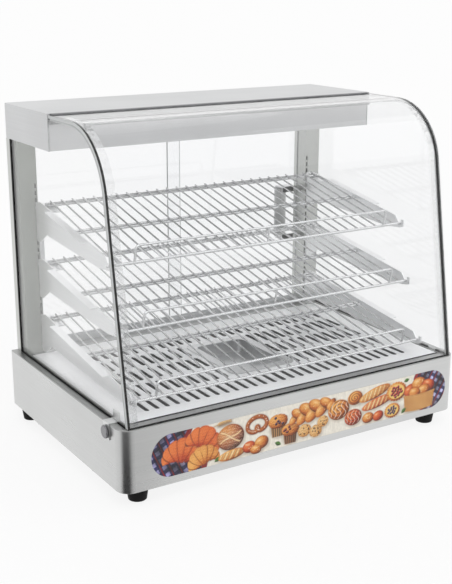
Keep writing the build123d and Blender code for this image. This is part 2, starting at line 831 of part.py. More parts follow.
def shelf_arm(side, hook_z, reach):
    """Tapered sheet arm that hooks into the post and carries one end of a shelf."""
    wire_v = shelf_front_up
    lug_in = frame_radius + fit_gap
    lug_low = wire_v - lug_in - lug_floor
    toe = reach - arm_toe_back
    nose = reach - arm_nose_back
    nose_v = wire_v + arm_nose_up
    tilt = atan(shelf_rise / shelf_run(reach))

    def place(out, up):
        return post_front - out, hook_z + up

    def top_line(out):
        slope = (arm_crest_up - nose_v) / (nose - arm_crest_out)
        return arm_crest_up - (out - arm_crest_out) * slope

    plane, width = extrude_x(side * arm_inner, side * arm_outer)
    with BuildPart() as arm:
        with BuildSketch(plane):
            with BuildLine():
                Polyline(
                    place(reach - lug_in, wire_v),
                    place(reach - lug_in, wire_v + fit_gap),
                    place(nose, nose_v),
                    place(arm_crest_out, arm_crest_up),
                    place(fit_gap, arm_rear_up),
                    place(fit_gap, -arm_foot_drop),
                    place(arm_heel, -arm_foot_drop),
                    place(arm_peak_out, arm_peak_up),
                    place(toe, -arm_toe_drop),
                    place(reach, lug_low),
                    place(reach + lug_in + lug_wall, lug_low + lug_floor / 2),
                    place(reach + lug_in + lug_wall, wire_v + lug_rise),
                    place(reach + lug_in, wire_v + lug_rise),
                    place(reach + lug_in, wire_v),
                )
                ThreePointArc(
                    place(reach + lug_in, wire_v),
                    place(reach, wire_v - lug_in),
                    place(reach - lug_in, wire_v),
                )
            make_face()
            neck_low = fit_gap - rack_slot_height / 2
            tooth_near = post_wall + fit_gap
            for rise in (0, hook_spread * rack_pitch):
                with Locations(place(fit_gap, rise + neck_low)):
                    Rectangle(tooth_near + hook_bite + fit_gap, hook_height, align=(Align.MIN, Align.MIN))
                with Locations(place(-tooth_near, rise + neck_low + hook_height)):
                    Rectangle(hook_bite, hook_height + hook_tooth, align=(Align.MIN, Align.MAX))
            slot_out = shelf_rear_gap + arm_slot_share * shelf_run(reach)
            with Locations(place(slot_out, top_line(slot_out) - arm_slot_length)):
                SlotOverall(arm_slot_length, arm_slot_width, rotation=90, mode=Mode.SUBTRACT)
        extrude(amount=width)
        flange_end = reach - arm_flange_back
        plane, width = extrude_x(side * arm_inner, side * (arm_outer + arm_flange_width))
        with BuildSketch(plane):
            with BuildLine():
                Polyline(
                    place(arm_flange_start, top_line(arm_flange_start)),
                    place(flange_end, top_line(flange_end)),
                    place(flange_end, top_line(flange_end) - tab_wall),
                    place(arm_flange_start, top_line(arm_flange_start) - tab_wall),
                    close=True,
                )
            make_face()
        extrude(amount=width)
        under = weld_bite * (wire_radius + cross_radius) + cross_radius + fit_gap
        tab_out = shelf_rear_gap + tab_forward
        tab_up = wire_v + (reach - tab_out) * tan(tilt) - under / cos(tilt)
        tab_y, tab_z = place(tab_out, tab_up)
        tab_reach = tab_width + arm_wall
        tab_x = side * (arm_outer - tab_reach / 2)
        tab_normal = (0, -sin(tilt), cos(tilt))
        with BuildSketch(Plane(origin=(tab_x, tab_y, tab_z), x_dir=(1, 0, 0), z_dir=tab_normal)):
            tab = Rectangle(tab_reach, tab_length)
            fillet(tab.vertices().group_by(Axis.X)[-1 if side < 0 else 0], tab_radius)
        extrude(amount=-tab_wall)
    return arm.part


def shelf_grid(front_z, reach):
    """Wire grid of a shelf: long wires from rear to front welded over cross wires."""
    tilt = atan(shelf_rise / shelf_run(reach))
    along = Vector(0, cos(tilt), sin(tilt))
    normal = Vector(0, -sin(tilt), cos(tilt))
    front = Vector(0, post_front - reach, front_z)
    length = shelf_run(reach) / cos(tilt)
    start = frame_radius + weld_gap
    under = weld_bite * (wire_radius + cross_radius)
    mid = mid_wire_share * length
    cross_places = [
        tuple(front + along * distance - normal * under)[1:]
        for distance in (mid - cross_pair_gap / 2, mid + cross_pair_gap / 2, length - cross_pair_gap, length)
    ]
    with BuildPart() as grid:
        with BuildSketch(Plane(origin=front + along * start, x_dir=(1, 0, 0), z_dir=along)):
            with GridLocations(wire_pitch, wire_pitch, wire_count, 1):
                Circle(wire_radius)
        extrude(amount=length + 2 * cross_radius - start)
        with BuildSketch(Plane.YZ.offset(-grid_half)):
            with Locations(*cross_places):
                Circle(cross_radius)
        extrude(amount=2 * grid_half)
    return grid.part


def shelf_rail(front_z, reach):
    """Front wire of a shelf, which lies in the arms, and the bent wire rail on it."""
    front_y_wire = post_front - reach
    leg = Vector(0, -rail_forward, rail_height).normalized()
    top = Vector(0, -rail_forward, rail_height).length
    half = grid_half - rail_inset
    frame_half = arm_outer + front_wire_overhang
    front = Vector(0, front_y_wire, front_z)
    with BuildPart() as rail:
        with BuildLine(Plane(origin=front, x_dir=(1, 0, 0), z_dir=Vector(1, 0, 0).cross(leg))) as path:
            FilletPolyline((-half, 0), (-half, top), (half, top), (half, 0), radius=rail_bend)
        with BuildSketch(Plane(origin=path.line @ 0, z_dir=path.line % 0)):
            Circle(cross_radius)
        sweep(path=path.line)
        with BuildSketch(Plane(origin=front, x_dir=(1, 0, 0), z_dir=leg)):
            Circle(wire_radius)
        extrude(amount=top)
        with BuildSketch(Plane.YZ.offset(-frame_half)):
            with Locations((front_y_wire, front_z)):
                Circle(frame_radius)
        extrude(amount=2 * frame_half)
    return rail.part


shelf_fronts = (("bottom", bottom_shelf_front), ("middle", middle_shelf_front), ("top", top_shelf_front))
for level, (name, front_gap) in enumerate(shelf_fronts):
    reach = base_depth - post_depth - front_gap
    hook_z = rack_z + level * arm_step_z
    for side, side_name in ((-1, "left"), (1, "right")):
        pieces[f"{name}_{side_name}_arm"] = shelf_arm(side, hook_z, reach)
    pieces[f"{name}_shelf_grid"] = shelf_grid(hook_z + shelf_front_up, reach)
    pieces[f"{name}_shelf_rail"] = shelf_rail(hook_z + shelf_front_up, reach)

# Roof: a folded cover closed below by a soffit that carries the lamp window.
roof_y = rear_y - roof_depth / 2
roof_screw_z = roof_bottom + sheet + soffit_flange / 2
roof_screw_x = roof_half - 2 * holder_size
with BuildPart() as roof_cover:
    with BuildSketch(Plane.XY.offset(roof_bottom)):
        with Locations((0, roof_y)):
            Rectangle(2 * roof_half, roof_depth)
    extrude(amount=roof_height)
    fillet(roof_cover.edges().filter_by(Axis.Z), roof_corner)
    fillet(roof_cover.faces().sort_by(Axis.Z)[-1].edges(), sheet)
    with BuildSketch(Plane.XY.offset(roof_bottom)):
        with Locations((0, roof_y)):
            RectangleRounded(2 * (roof_half - sheet), roof_depth - 2 * sheet, roof_corner - sheet)
    extrude(amount=roof_height - sheet, mode=Mode.SUBTRACT)
    with BuildSketch(Plane.XZ.offset(-rear_y)):
        with Locations((-roof_screw_x, roof_screw_z), (0, roof_screw_z), (roof_screw_x, roof_screw_z)):
            Circle(screw_radius + screw_play)
    extrude(amount=sheet, mode=Mode.SUBTRACT)
pieces["roof_cover"] = roof_cover.part

soffit_length = roof_depth - 2 * sheet - 2 * fit_gap
soffit_half = roof_half - sheet - fit_gap
with BuildPart() as roof_soffit:
    with BuildSketch(Plane.YZ.offset(-soffit_half)):
        with Locations((roof_y, roof_bottom)):
            Rectangle(soffit_length, soffit_flange + sheet, align=(Align.CENTER, Align.MIN))
        with Locations((roof_y, roof_bottom + sheet + soffit_flange / 2)):
            Rectangle(soffit_length - 2 * sheet, soffit_flange, mode=Mode.SUBTRACT)
    extrude(amount=2 * soffit_half)
    with BuildSketch(Plane.XY.offset(roof_bottom)):
        with Locations((0, roof_y)):
            RectangleRounded(lens_length - 2 * lens_lap, lens_width - 2 * lens_lap, lens_lap)
    extrude(amount=sheet, mode=Mode.SUBTRACT)
    with BuildSketch(Plane.XZ.offset(-rear_y)):
        with Locations((-roof_screw_x, roof_screw_z), (0, roof_screw_z), (roof_screw_x, roof_screw_z)):
            Circle(screw_radius + screw_play)
    extrude(amount=2 * sheet + fit_gap, mode=Mode.SUBTRACT)
pieces["roof_soffit"] = roof_soffit.part

with BuildPart() as lamp_lens:
    with BuildSketch(Plane.XY.offset(roof_bottom + sheet)):
        with Locations((0, roof_y)):
            Rectangle(lens_length, lens_width)
    extrude(amount=lens_wall)
pieces["lamp_lens"] = lamp_lens.part

lamp_z = roof_bottom + lamp_level
with BuildPart() as lamp_tube:
    with BuildSketch(Plane.YZ.offset(-lamp_length / 2)):
        with Locations((roof_y, lamp_z)):
            Circle(lamp_radius)
    extrude(amount=lamp_length)
    fillet(lamp_tube.edges().filter_by(GeomType.CIRCLE), lamp_radius / 4)
pieces["lamp_tube"] = lamp_tube.part

holder_top = roof_top - sheet
with BuildPart() as lamp_holders:
    for side in (-1, 1):
        plane, width = extrude_x(side * (lamp_length / 2 - holder_bite), side * (lamp_length / 2 + holder_wall))
        with BuildSketch(plane):
            with Locations((roof_y, holder_top)):
                Rectangle(holder_size, holder_top - lamp_z + holder_size / 2, align=(Align.CENTER, Align.MAX))
        extrude(amount=width)
        plane, width = extrude_x(side * (lamp_length / 2 - holder_bite), side * (lamp_length / 2 + fit_gap))
        with BuildSketch(plane):
            with Locations((roof_y, lamp_z)):
                Circle(lamp_radius + fit_gap)
        extrude(amount=width, mode=Mode.SUBTRACT)
pieces["lamp_holders"] = lamp_holders.part

# Rear control panel with its knob, two rocker switches and pilot lamp.
panel_face = rear_y + sheet
knob_x = panel_center_x + knob_offset
pilot_x = panel_center_x + pilot_offset
rocker_corner = (rocker_half**2 + rocker_rise**2) ** 0.5
well_half_x = rocker_width / 2 + rocker_play
well_half_z = rocker_corner + rocker_play
switch_half_x = well_half_x + switch_wall
switch_half_z = well_half_z + switch_wall
switches = (
    ("light_switch", panel_center_x + light_switch_offset),
    ("heat_switch", panel_center_x + heat_switch_offset),
)
switch_places = [(x, panel_mid_z) for name, x in switches]
panel_screw_places = [
    (panel_center_x + sx * (panel_width / 2 - screw_edge), panel_mid_z + sz * (panel_height / 2 - screw_edge))
    for sx in (-1, 1)
    for sz in (-1, 1)
]
with BuildPart() as control_panel:
    with BuildSketch(Plane.XZ.offset(-panel_face)):
        with Locations((panel_center_x, panel_mid_z)):
            RectangleRounded(panel_width, panel_height, panel_corner)
        with Locations(*panel_screw_places):
            Circle(screw_radius + screw_play, mode=Mode.SUBTRACT)
        with Locations((knob_x, panel_mid_z)):
            Circle(shaft_radius + shaft_play, mode=Mode.SUBTRACT)
        with Locations((pilot_x, panel_mid_z)):
            Circle(pilot_radius + fit_gap, mode=Mode.SUBTRACT)
        with Locations(*switch_places):
            Rectangle(2 * (switch_half_x + fit_gap), 2 * (switch_half_z + fit_gap), mode=Mode.SUBTRACT)
    extrude(amount=sheet)
pieces["control_panel"] = control_panel.part

with BuildPart() as thermostat_body:
    with BuildSketch(Plane.XZ.offset(-rear_y)):
        with Locations((knob_x, panel_mid_z)):
            RectangleRounded(thermostat_size, thermostat_size, panel_corner)
            Circle(shaft_radius + shaft_play, mode=Mode.SUBTRACT)
    extrude(amount=thermostat_depth)
pieces["thermostat_body"] = thermostat_body.part

knob_base = panel_face + knob_gap
shaft_end = rear_y - thermostat_depth / 2
shaft_tip = knob_base + knob_height - knob_skirt
with BuildPart() as thermostat_shaft:
    with BuildSketch(Plane.XZ.offset(-shaft_tip)):
        with Locations((knob_x, panel_mid_z)):
            Circle(shaft_radius)
    extrude(amount=shaft_tip - shaft_end)
pieces["thermostat_shaft"] = thermostat_shaft.part

with BuildPart() as thermostat_knob:
    with BuildSketch(Plane.XZ.offset(-knob_base)):
        with Locations((knob_x, panel_mid_z)):
            Circle(knob_skirt_radius)
    extrude(amount=-knob_skirt)
    with BuildSketch(Plane.XZ.offset(-knob_base - knob_skirt)):
        with Locations((knob_x, panel_mid_z)):
            Circle(knob_radius)
    extrude(amount=knob_skirt + knob_skirt - knob_height, taper=8)
    with BuildSketch(Plane.XZ.offset(-knob_base)):
        with Locations((knob_x, panel_mid_z)):
            Rectangle(knob_grip, 2 * knob_radius - knob_skirt)
    extrude(amount=-knob_height)
    with BuildSketch(Plane.XZ.offset(-knob_base)):
        with Locations((knob_x, panel_mid_z)):
            Circle(shaft_radius + knob_bore_play)
    extrude(amount=knob_base - shaft_tip, mode=Mode.SUBTRACT)
pieces["thermostat_knob"] = thermostat_knob.part

pivot_y = panel_face + switch_flange_wall
with BuildPart() as switch_housings:
    with BuildSketch(Plane.XZ.offset(-pivot_y)):
        with Locations(*switch_places):
            Rectangle(2 * (switch_half_x + switch_flange), 2 * (switch_half_z + switch_flange))
    extrude(amount=switch_flange_wall)
    with BuildSketch(Plane.XZ.offset(-panel_face)):
        with Locations(*switch_places):
            Rectangle(2 * switch_half_x, 2 * switch_half_z)
    extrude(amount=switch_depth)
    with BuildSketch(Plane.XZ.offset(-pivot_y)):
        with Locations(*switch_places):
            Rectangle(2 * well_half_x, 2 * well_half_z)
    extrude(amount=rocker_well, mode=Mode.SUBTRACT)
    for name, x in switches:
        with BuildSketch(Plane.YZ.offset(x - switch_half_x)):
            with Locations((pivot_y - rocker_dip, panel_mid_z)):
                Circle(rocker_pin + rocker_pin_play)
        extrude(amount=2 * switch_half_x, mode=Mode.SUBTRACT)
pieces["switch_housings"] = switch_housings.part

rest_angle = rocker_throw / 2
for name, x in switches:
    with BuildPart() as rocker:
        with BuildSketch(Plane.YZ.offset(x - rocker_width / 2)):
            with Locations(Location((pivot_y - rocker_dip, panel_mid_z), -rest_angle)):
                Polygon(
                    (rocker_rise, -rocker_half),
                    (rocker_dip, 0),
                    (rocker_rise, rocker_half),
                    (-rocker_depth, rocker_root),
                    (-rocker_depth, -rocker_root),
                    align=None,
                )
        extrude(amount=rocker_width)
        with BuildSketch(Plane.YZ.offset(x - well_half_x - switch_wall / 2)):
            with Locations((pivot_y - rocker_dip, panel_mid_z)):
                Circle(rocker_pin)
        extrude(amount=2 * well_half_x + switch_wall)
    pieces[f"{name}_rocker"] = rocker.part

with BuildPart() as pilot_lamp:
    with BuildSketch(Plane.XZ.offset(-panel_face - sheet)):
        with Locations((pilot_x, panel_mid_z)):
            Circle(pilot_bezel)
    extrude(amount=sheet)
    with BuildSketch(Plane.XZ.offset(-panel_face - pilot_rise)):
        with Locations((pilot_x, panel_mid_z)):
            Circle(pilot_radius)
    extrude(amount=pilot_rise + pilot_depth)
    fillet(pilot_lamp.edges().filter_by(GeomType.CIRCLE).sort_by(Axis.Y)[-1], pilot_radius / 3)
pieces["pilot_lamp"] = pilot_lamp.part

# Cord gland in the rear wall, open through, and the terminal block behind it.
with BuildPart() as cord_gland:
    with BuildSketch(Plane.XZ.offset(-rear_y - gland_flange)):
        with Locations((gland_x, panel_mid_z)):
            RegularPolygon(gland_flange_radius, 6)
    extrude(amount=gland_flange)
    with BuildSketch(Plane.XZ.offset(-rear_y - gland_flange)):
        with Locations((gland_x, panel_mid_z)):
            Circle(gland_dome_radius)
    extrude(amount=-gland_dome, taper=10)
    with BuildSketch(Plane.XZ.offset(-rear_y)):
        with Locations((gland_x, panel_mid_z)):
            Circle(gland_radius)
    extrude(amount=gland_inside)
    with BuildSketch(Plane.XZ.offset(sheet - rear_y)):
        with Locations((gland_x, panel_mid_z)):
            RegularPolygon(gland_flange_radius, 6)
    extrude(amount=gland_nut)
    with BuildSketch(Plane.XZ.offset(-rear_y - gland_flange - gland_dome)):
        with Locations((gland_x, panel_mid_z)):
            Circle(gland_bore)
    extrude(amount=gland_flange + gland_dome + gland_inside, mode=Mode.SUBTRACT)
pieces["cord_gland"] = cord_gland.part

block_y = rear_y - rear_ledge - block_width
with BuildPart() as terminal_block:
    with BuildSketch(Plane.XY.offset(plate_top)):
        with Locations((gland_x, block_y)):
            Rectangle(block_length, block_width)
    extrude(amount=block_height)
    chamfer(terminal_block.edges().filter_by(Axis.X).group_by(Axis.Z)[-1], block_height / 4)
    with BuildSketch(Plane.XY.offset(plate_top + block_height)):
        with Locations((gland_x, block_y)):
            with GridLocations(block_length / block_posts, block_width, block_posts, 1):
                Circle(screw_radius)
    extrude(amount=-block_height / 2, mode=Mode.SUBTRACT)
pieces["terminal_block"] = terminal_block.part

# Tubular heater on two notched supports above a sheet heat shield.
shield_y = front_y + shield_front + shield_length / 2
with BuildPart() as heat_shield:
    with BuildSketch(Plane.XZ.offset(-front_y - shield_front)):
        with BuildLine():
            Polyline(
                (-shield_half - shield_foot, plate_top),
                (-shield_half, plate_top),
                (-shield_half, shield_top - sheet),
                (shield_half, shield_top - sheet),
                (shield_half, plate_top),
                (shield_half + shield_foot, plate_top),
                (shield_half + shield_foot, plate_top + sheet),
                (shield_half + sheet, plate_top + sheet),
                (shield_half + sheet, shield_top),
                (-shield_half - sheet, shield_top),
                (-shield_half - sheet, plate_top + sheet),
                (-shield_half - shield_foot, plate_top + sheet),
                close=True,
            )
        make_face()
    extrude(amount=-shield_length)
pieces["heat_shield"] = heat_shield.part

with BuildPart() as heater_supports:
    for y in (shield_y - shield_length / 2 + support_inset, shield_y + shield_length / 2 - support_inset):
        with BuildSketch(Plane.XZ.offset(-y)):
            with Locations((0, (shield_top + heater_z) / 2)):
                Rectangle(2 * (shield_half - support_margin), heater_z - shield_top)
            with Locations(*[(s * x, heater_z) for s in (-1, 1) for x in (heater_outer_x, heater_inner_x)]):
                Circle(heater_radius + heater_play, mode=Mode.SUBTRACT)
        extrude(amount=sheet)
        with BuildSketch(Plane.XY.offset(shield_top)):
            with Locations((0, y)):
                Rectangle(2 * (shield_half - support_margin), support_foot, align=(Align.CENTER, Align.MIN))
        extrude(amount=sheet)
pieces["heater_supports"] = heater_supports.part

heater_route = [
    (-heater_outer_x, front_y + heater_tail),
    (-heater_outer_x, front_y + heater_front),
    (-heater_inner_x, front_y + heater_front),
    (-heater_inner_x, front_y + heater_back),
    (heater_inner_x, front_y + heater_back),
    (heater_inner_x, front_y + heater_front),
    (heater_outer_x, front_y + heater_front),
    (heater_outer_x, front_y + heater_tail),
]
with BuildPart() as heater_element:
    with BuildLine(Plane.XY.offset(heater_z)) as heater_path:
        FilletPolyline(*heater_route, radius=heater_bend)
    with BuildSketch(Plane(origin=heater_path.line @ 0, z_dir=heater_path.line % 0)):
        Circle(heater_radius)
    sweep(path=heater_path.line)
pieces["heater_element"] = heater_element.part

# Cross-head screws of the bottom plate, the control panel and the roof.
screw_planes = []
for x, y in side_screw_places + rear_screw_places:
    screw_planes.append(Plane(origin=(x, y, base_bottom), z_dir=(0, 0, -1)))
for x, z in panel_screw_places:
    screw_planes.append(Plane(origin=(x, panel_face, z), z_dir=(0, 1, 0)))
for x in (-roof_screw_x, 0, roof_screw_x):
    screw_planes.append(Plane(origin=(x, rear_y, roof_screw_z), z_dir=(0, 1, 0)))
with BuildPart() as case_screws:
    for plane in screw_planes:
        with BuildSketch(plane):
            Circle(screw_head_radius)
        extrude(amount=screw_head)
        with BuildSketch(plane):
            Circle(screw_radius)
        extrude(amount=-screw_length)
        with BuildSketch(plane.offset(screw_head)):
            Rectangle(screw_cross, screw_cross_width)
            Rectangle(screw_cross_width, screw_cross)
        extrude(amount=-screw_cross_depth, mode=Mode.SUBTRACT)
pieces["case_screws"] = case_screws.part

os.makedirs("parts", exist_ok=True)
for name, piece in pieces.items():
    piece.label = name
    export_step(piece, f"parts/{name}.step")
print(f"{len(pieces)} pieces written")
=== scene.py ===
import math
import bpy
import numpy as np
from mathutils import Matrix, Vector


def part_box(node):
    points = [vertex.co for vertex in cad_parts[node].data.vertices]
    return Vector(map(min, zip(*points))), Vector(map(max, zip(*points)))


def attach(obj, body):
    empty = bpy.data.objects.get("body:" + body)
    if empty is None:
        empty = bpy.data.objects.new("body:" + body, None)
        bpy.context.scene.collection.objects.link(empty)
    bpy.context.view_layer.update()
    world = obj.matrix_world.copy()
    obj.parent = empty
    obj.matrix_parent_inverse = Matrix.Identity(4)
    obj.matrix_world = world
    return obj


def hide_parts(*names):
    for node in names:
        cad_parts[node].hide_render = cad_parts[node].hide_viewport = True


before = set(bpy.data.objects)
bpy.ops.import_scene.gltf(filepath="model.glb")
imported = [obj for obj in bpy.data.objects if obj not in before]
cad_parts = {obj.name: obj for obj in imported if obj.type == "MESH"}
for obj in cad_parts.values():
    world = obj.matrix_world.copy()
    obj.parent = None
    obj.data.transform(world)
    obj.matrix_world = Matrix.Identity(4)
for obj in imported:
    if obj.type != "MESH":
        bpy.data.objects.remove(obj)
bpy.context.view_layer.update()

rng = np.random.default_rng(26)
print("frame loaded:", len(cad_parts), "nodes")


# camera at the photograph's place, lens in millimetres on a 36 mm sensor
view = {"place": (-0.9742, -1.5608, 0.7681), "azimuth": -31.82, "down": 16.13, "lens": 67.0}
camData = bpy.data.cameras.new("photoCamera")
camData.lens = view["lens"]
camData.sensor_width = 36.0
camData.clip_end = 200.0
cam = bpy.data.objects.new("photoCamera", camData)
cam.location = view["place"]
cam.rotation_euler = (math.radians(90 - view["down"]), 0, math.radians(view["azimuth"]))
bpy.context.scene.collection.objects.link(cam)
bpy.context.scene.camera = cam
bpy.context.scene.view_settings.view_transform = "Standard"
print("camera placed")


# short ways to add and join shader nodes
def newMaterial(name):
    mat = bpy.data.materials.new(name)
    mat.use_nodes = True
    tree = mat.node_tree
    return mat, tree, tree.nodes["Principled BSDF"]


def node(tree, kind, **settings):
    made = tree.nodes.new(kind)
    for key, value in settings.items():
        if key in made.inputs:
            made.inputs[key].default_value = value
        else:
            setattr(made, key, value)
    return made


def math2(tree, operation, a, b=None):
    made = node(tree, "ShaderNodeMath", operation=operation)
    for index, value in enumerate((a, b)):
        if value is None:
            continue
        if isinstance(value, (int, float)):
            made.inputs[index].default_value = value
        else:
            tree.links.new(value, made.inputs[index])
    return made.outputs[0]


def ramp(tree, source, low, high, outLow, outHigh):
    made = node(tree, "ShaderNodeMapRange")
    for key, value in (("From Min", low), ("From Max", high), ("To Min", outLow), ("To Max", outHigh)):
        made.inputs[key].default_value = value
    tree.links.new(source, made.inputs["Value"])
    return made.outputs["Result"]


def mixColour(tree, factor, first, second):
    made = node(tree, "ShaderNodeMix", data_type="RGBA")
    for index, value in ((0, factor), (6, first), (7, second)):
        socket = made.inputs[index]
        if isinstance(value, (int, float)):
            socket.default_value = value
        elif isinstance(value, (tuple, list)):
            socket.default_value = (*value[:3], 1.0)
        else:
            tree.links.new(value, socket)
    return made.outputs[2]


# noise on Object coordinates, stretched by one scale per axis
def noiseAt(tree, scales, size, detail=3.0, roughness=0.55):
    coords = node(tree, "ShaderNodeTexCoord")
    mapping = node(tree, "ShaderNodeMapping")
    mapping.inputs["Scale"].default_value = scales
    tree.links.new(coords.outputs["Object"], mapping.inputs["Vector"])
    noise = node(tree, "ShaderNodeTexNoise", Scale=size, Detail=detail, Roughness=roughness)
    tree.links.new(mapping.outputs["Vector"], noise.inputs["Vector"])
    return noise.outputs["Fac"]


# 1 where the surface faces along the axis, to either side, else 0
def facing(tree, axis, sharp=0.7):
    geometry = node(tree, "ShaderNodeNewGeometry")
    split = node(tree, "ShaderNodeSeparateXYZ")
    tree.links.new(geometry.outputs["Normal"], split.inputs[0])
    return math2(tree, "GREATER_THAN", math2(tree, "ABSOLUTE", split.outputs[axis]), sharp)


# 1 on faces that look toward the part's middle or down, so the insides of the base; these faces get painted shade
def inwardShadeMask(tree):
    geometry = node(tree, "ShaderNodeNewGeometry")
    coords = node(tree, "ShaderNodeTexCoord")
    product = node(tree, "ShaderNodeVectorMath", operation="DOT_PRODUCT")
    tree.links.new(geometry.outputs["Normal"], product.inputs[0])
    tree.links.new(coords.outputs["Object"], product.inputs[1])
    return math2(tree, "LESS_THAN", product.outputs["Value"], 0.0)


# 1 past a distance along an axis, on either side; a second axis keeps only the faces that look against it
def beyond(tree, axis, distance, against=None):
    coords = node(tree, "ShaderNodeTexCoord")
    split = node(tree, "ShaderNodeSeparateXYZ")
    tree.links.new(coords.outputs["Object"], split.inputs[0])
    past = math2(tree, "GREATER_THAN", math2(tree, "ABSOLUTE", split.outputs[axis]), distance)
    if against:
        geometry = node(tree, "ShaderNodeNewGeometry")
        looks = node(tree, "ShaderNodeSeparateXYZ")
        tree.links.new(geometry.outputs["Normal"], looks.inputs[0])
        past = math2(tree, "MULTIPLY", past, math2(tree, "LESS_THAN", looks.outputs[against], -0.5))
    return past


def tone(colour, share):
    return tuple(min(1.0, c * share) for c in colour)


def bump(tree, shader, height, strength, distance, bevel=0.0):
    made = node(tree, "ShaderNodeBump", Strength=strength, Distance=distance)
    tree.links.new(height, made.inputs["Height"])
    if bevel:
        edge = node(tree, "ShaderNodeBevel", samples=4, Radius=bevel)
        tree.links.new(edge.outputs["Normal"], made.inputs["Normal"])
    tree.links.new(made.outputs["Normal"], shader.inputs["Normal"])


# satin steel: long fine streaks along X, or along Y on faces that look to the side, and soft smudges; some looks add
# painted shade on inner faces and in hollows, and painted light on outer sides
def brushedSteel(name, look):
    mat, tree, shader = newMaterial(name)
    grain = look["grain"]
    alongX = noiseAt(tree, (look["run"], grain, grain), 1.0, 4.0, 0.6)
    alongY = noiseAt(tree, (grain, look["run"], grain), 1.0, 4.0, 0.6)
    side = facing(tree, "X")
    streaks = math2(tree, "ADD", math2(tree, "MULTIPLY", alongY, side),
                    math2(tree, "MULTIPLY", alongX, math2(tree, "SUBTRACT", 1.0, side)))
    smudge = noiseAt(tree, (5, 5, 7), 1.0, 3.0, 0.5)
    colour = mixColour(tree, ramp(tree, streaks, 0.25, 0.75, 0.0, 1.0),
                       tone(look["colour"], 1 - look["contrast"]), tone(look["colour"], 1 + look["contrast"]))
    colour = mixColour(tree, ramp(tree, smudge, 0.35, 0.7, 0.0, look["smudge"]), colour, tone(look["colour"], 0.86))
    # painted shade: faces that look inward or down take the near-black inside colour, in place of the shade inside the
    # base, its ledge and under the deck
    if "inside" in look:
        colour = mixColour(tree, inwardShadeMask(tree), colour, look["inside"])
    # painted shade: faces in a post's hollow that look forward take a near-black colour
    if "hollow" in look:
        colour = mixColour(tree, beyond(tree, "Y", look["hollowFrom"], "Y"), colour, look["hollow"])
    # painted light: faces past the posts' outer sides take a paler colour
    if "litFlank" in look:
        colour = mixColour(tree, beyond(tree, "X", look["litFlankFrom"]), colour, look["litFlank"])
    tree.links.new(colour, shader.inputs["Base Color"])
    shader.inputs["Metallic"].default_value = look["metal"]
    rough = math2(tree, "ADD", ramp(tree, streaks, 0.2, 0.8, -0.04, 0.05), ramp(tree, smudge, 0.3, 0.7, 0.0, 0.05))
    tree.links.new(math2(tree, "ADD", rough, look["rough"]), shader.inputs["Roughness"])
    bump(tree, shader, streaks, look["relief"], 0.0002, look["edge"])
    return mat


# plastic, rubber or ceramic with a fine surface grain and slight colour drift
def moulded(name, look):
    mat, tree, shader = newMaterial(name)
    fine = noiseAt(tree, (1, 1, 1), look["grain"], 3.0, 0.6)
    drift = noiseAt(tree, (1, 1, 1), 30.0, 2.0, 0.5)
    colour = mixColour(tree, ramp(tree, drift, 0.3, 0.7, 0.0, 1.0),
                       tone(look["colour"], 0.88), tone(look["colour"], 1.12))
    # painted light: faces that look along X take a pale colour instead of the rubber's black
    if "litSideColour" in look:
        colour = mixColour(tree, facing(tree, "X"), colour, look["litSideColour"])
    tree.links.new(colour, shader.inputs["Base Color"])
    tree.links.new(ramp(tree, fine, 0.3, 0.7, look["rough"] - 0.06, look["rough"] + 0.08), shader.inputs["Roughness"])
    shader.inputs["Specular IOR Level"].default_value = look["shine"]
    bump(tree, shader, fine, look["relief"], 0.0003, look.get("edge", 0.0))
    return mat


glass = {"index": 1.45, "edgeClear": 0.3, "edgeGrain": 700.0, "edgeRough": (0.3, 0.5), "edgeFrom": 0.6}


# clear pane: glass for sight, see-through for lamps, with ground edges on the faces that the axis picks
def clearGlass(name, look):
    mat, tree, shader = newMaterial(name)
    shader.inputs["Base Color"].default_value = (*look["tint"], 1.0)
    shader.inputs["Transmission Weight"].default_value = 1.0
    shader.inputs["IOR"].default_value = glass["index"]
    shader.inputs["Roughness"].default_value = 0.0
    ground = node(tree, "ShaderNodeBsdfPrincipled")
    ground.inputs["Base Color"].default_value = (*look["edgeColour"], 1.0)
    ground.inputs["Transmission Weight"].default_value = glass["edgeClear"]
    fine = noiseAt(tree, (1, 1, 1), glass["edgeGrain"], 2.0, 0.5)
    tree.links.new(ramp(tree, fine, 0.3, 0.7, *glass["edgeRough"]), ground.inputs["Roughness"])
    edge = facing(tree, look["flatAxis"], glass["edgeFrom"])
    if look["edgesAre"] == "other":
        edge = math2(tree, "SUBTRACT", 1.0, edge)
    body = node(tree, "ShaderNodeMixShader")
    tree.links.new(edge, body.inputs[0])
    tree.links.new(shader.outputs[0], body.inputs[1])
    tree.links.new(ground.outputs[0], body.inputs[2])
    clear = node(tree, "ShaderNodeBsdfTransparent")
    clear.inputs["Color"].default_value = (*look["tint"], 1.0)
    path = node(tree, "ShaderNodeLightPath")
    pane = node(tree, "ShaderNodeMixShader")
    tree.links.new(path.outputs["Is Shadow Ray"], pane.inputs[0])
    tree.links.new(body.outputs[0], pane.inputs[1])
    tree.links.new(clear.outputs[0], pane.inputs[2])
    tree.links.new(pane.outputs[0], tree.nodes["Material Output"].inputs["Surface"])
    return mat


# thin clear plastic that hardly shows: mostly see-through, with a faint uneven gloss
def clearPlastic(name, look):
    mat, tree, shader = newMaterial(name)
    shader.inputs["Base Color"].default_value = (*look["colour"], 1.0)
    haze = noiseAt(tree, (1, 1, 1), look["grain"], 3.0, 0.5)
    tree.links.new(ramp(tree, haze, 0.3, 0.7, look["alpha"] * 0.8, look["alpha"] * 1.2), shader.inputs["Alpha"])
    tree.links.new(ramp(tree, haze, 0.3, 0.7, 0.12, 0.25), shader.inputs["Roughness"])
    return mat


def dress(mat, *names):
    for name in names:
        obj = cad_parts[name]
        for slot in obj.material_slots:
            slot.material = mat
        if not obj.material_slots:
            obj.data.materials.append(mat)


